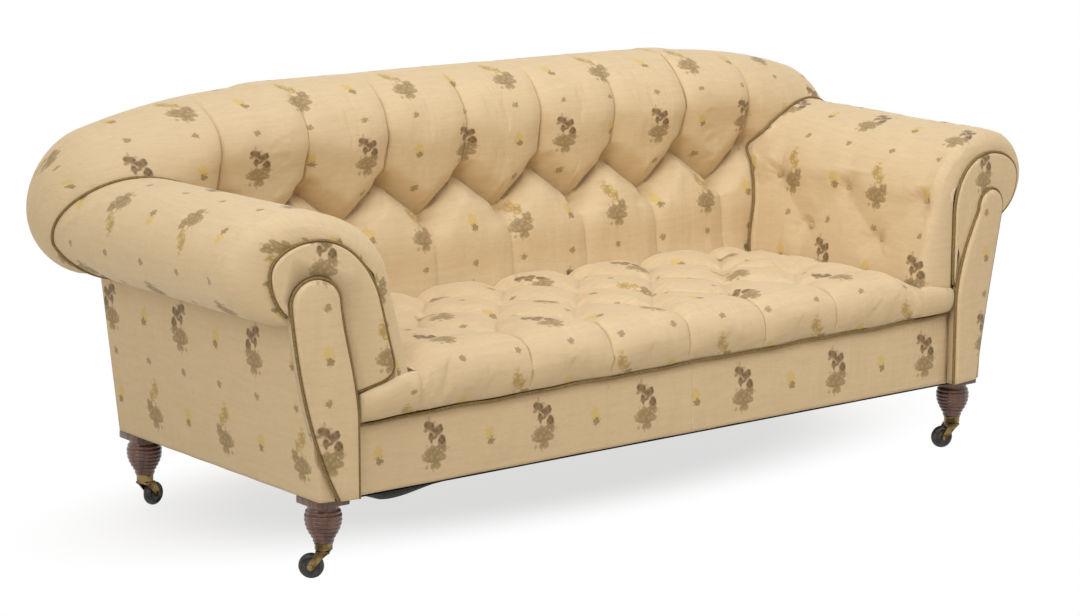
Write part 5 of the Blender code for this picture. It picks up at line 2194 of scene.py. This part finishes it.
@dataclass(frozen=True)
class Lamp:
    """A soft square light, by its place, what it looks at, its side, its watts, its colour and its spread."""

    name: str
    place: Triple
    target: Triple
    size: float
    power: float
    tint: Triple
    spread: float = 180.0

    def hang(self) -> None:
        """Adds it to the scene."""
        lamp = bpy.data.lights.new(self.name, "AREA")
        lamp.size = self.size
        lamp.spread = math.radians(self.spread)
        lamp.energy = self.power
        lamp.color = self.tint
        made = bpy.data.objects.new(self.name, lamp)
        made.location = self.place
        made.rotation_euler = (Vector(self.target) - Vector(self.place)).to_track_quat("-Z", "Y").to_euler()
        bpy.context.scene.collection.objects.link(made)


@dataclass
class Stage:
    """Floor, light and camera."""

    camera_place: Triple = (-3.5213, -4.4738, 1.4620)
    pitch: float = 11.28
    yaw: float = -38.01
    lens: float = 99.47
    sensor: float = 36.0
    floor_size: float = 14.0
    floor_shades: tuple[Triple, Triple] = ((0.67, 0.65, 0.61), (0.71, 0.69, 0.65))
    whiteness: float = 0.69
    shadow_middle: Triple = (0.0, 0.10, 0.0)
    shadow_scale: Triple = (0.85, 2.10, 1.0)
    shadow_edge: Pair = (0.50, 1.0)
    sky: Triple = (1.0, 0.865, 0.665)
    sky_power: float = 0.58
    lamps: tuple[Lamp, ...] = (
        Lamp("key", (0.1, -2.2, 6.4), (0.0, 0.0, 0.3), 6.8, 312.0, (0.805, 0.885, 1.0)),
        Lamp("left", (-4.0, -0.6, 2.0), (0.0, 0.0, 0.4), 1.5, 25.0, (0.76, 0.87, 1.0)),
        Lamp("inside", (-2.6, -1.8, 2.4), (0.75, 0.05, 0.48), 0.8, 2.1, (1.0, 0.93, 0.84), 38.0),
    )

    def build(self) -> None:
        """Sets them up."""
        scene = bpy.context.scene
        bm = bmesh.new()
        bmesh.ops.create_grid(bm, x_segments=1, y_segments=1, size=self.floor_size)
        mesh = bpy.data.meshes.new("floor")
        bm.to_mesh(mesh)
        bm.free()
        mesh.materials.append(self.floor_finish())
        floor = bpy.data.objects.new("floor", mesh)
        scene.collection.objects.link(floor)
        for lamp in self.lamps:
            lamp.hang()
        self.surround()
        camera = bpy.data.objects.new("camera", bpy.data.cameras.new("camera"))
        camera.data.lens = self.lens
        camera.data.sensor_width = self.sensor
        camera.location = self.camera_place
        camera.rotation_euler = (math.radians(90 - self.pitch), 0, math.radians(self.yaw))
        scene.collection.objects.link(camera)
        scene.camera = camera
        scene.view_settings.view_transform = "Standard"

    def floor_finish(self) -> Material:
        """Returns: a pale floor that the camera sees as nearly white, with the object's shadow on it."""
        shader = Shader(bpy.data.materials.new("pale_floor"))
        place = shader.node("ShaderNodeTexCoord", {}, {}).outputs["Object"]
        middle = {0: place, 1: self.shadow_middle}
        about = shader.node("ShaderNodeVectorMath", {"operation": "SUBTRACT"}, middle).outputs[0]
        far = shader.length(shader.stretched(about, self.shadow_scale))
        share = far.ramp(*self.shadow_edge) * (1.0 - self.whiteness) + self.whiteness
        white = shader.node("ShaderNodeEmission", {}, {"Color": (1, 1, 1, 1), "Strength": 1.0})
        ends = {0: share * shader.seen(), 1: shader.surface.outputs[0], 2: white.outputs[0]}
        cover = shader.node("ShaderNodeMixShader", {}, ends)
        shader.join(shader.tree.nodes["Material Output"].inputs["Surface"], cover.outputs[0])
        shade = shader.blend(shader.spots(place, 3.0), *self.floor_shades)
        return shader.finish(Base_Color=shade, Roughness=0.7)

    def surround(self) -> None:
        """Sets a warm surround that the camera sees as white."""
        shader = Shader(bpy.data.worlds.new("surround"), "Background")
        seen = shader.seen()
        tint = shader.blend(seen, self.sky, (1.0, 1.0, 1.0))
        power = seen * (1.0 - self.sky_power) + self.sky_power
        bpy.context.scene.world = shader.finish(Color=tint, Strength=power)


def dress_frame(finishes: Finishes) -> None:
    """Gives the CAD pieces that stay in view their finishes.

    Args:
        finishes: The scene's materials.
    """
    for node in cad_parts.values():
        for place in node.material_slots:
            name = place.material.name.split(".")[0] if place.material else ""
            if name in finishes.by_slot:
                place.material = finishes.by_slot[name]


def main() -> None:
    """Builds the whole scene and reports each piece."""
    logging.basicConfig(level=logging.INFO)
    sofa, shop, press = Sofa(), Workshop(Finishes()), ClothPress()
    dress_frame(shop.finishes)
    back = BackRest(sofa, shop, press)
    arms = [Arm(sofa, shop, press, back, side) for side in Side]
    covers = [back, Seat(sofa, shop, press), *arms, OutsideBack(sofa, shop, press)]
    for part in [*covers, Legs(shop), DustCover(shop)]:
        part.build()
    for made in shop.made:
        LOG.info("%s made with %d points", made.name, len(made.data.vertices))
    Stage().build()
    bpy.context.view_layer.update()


if __name__ == "__main__":
    main()
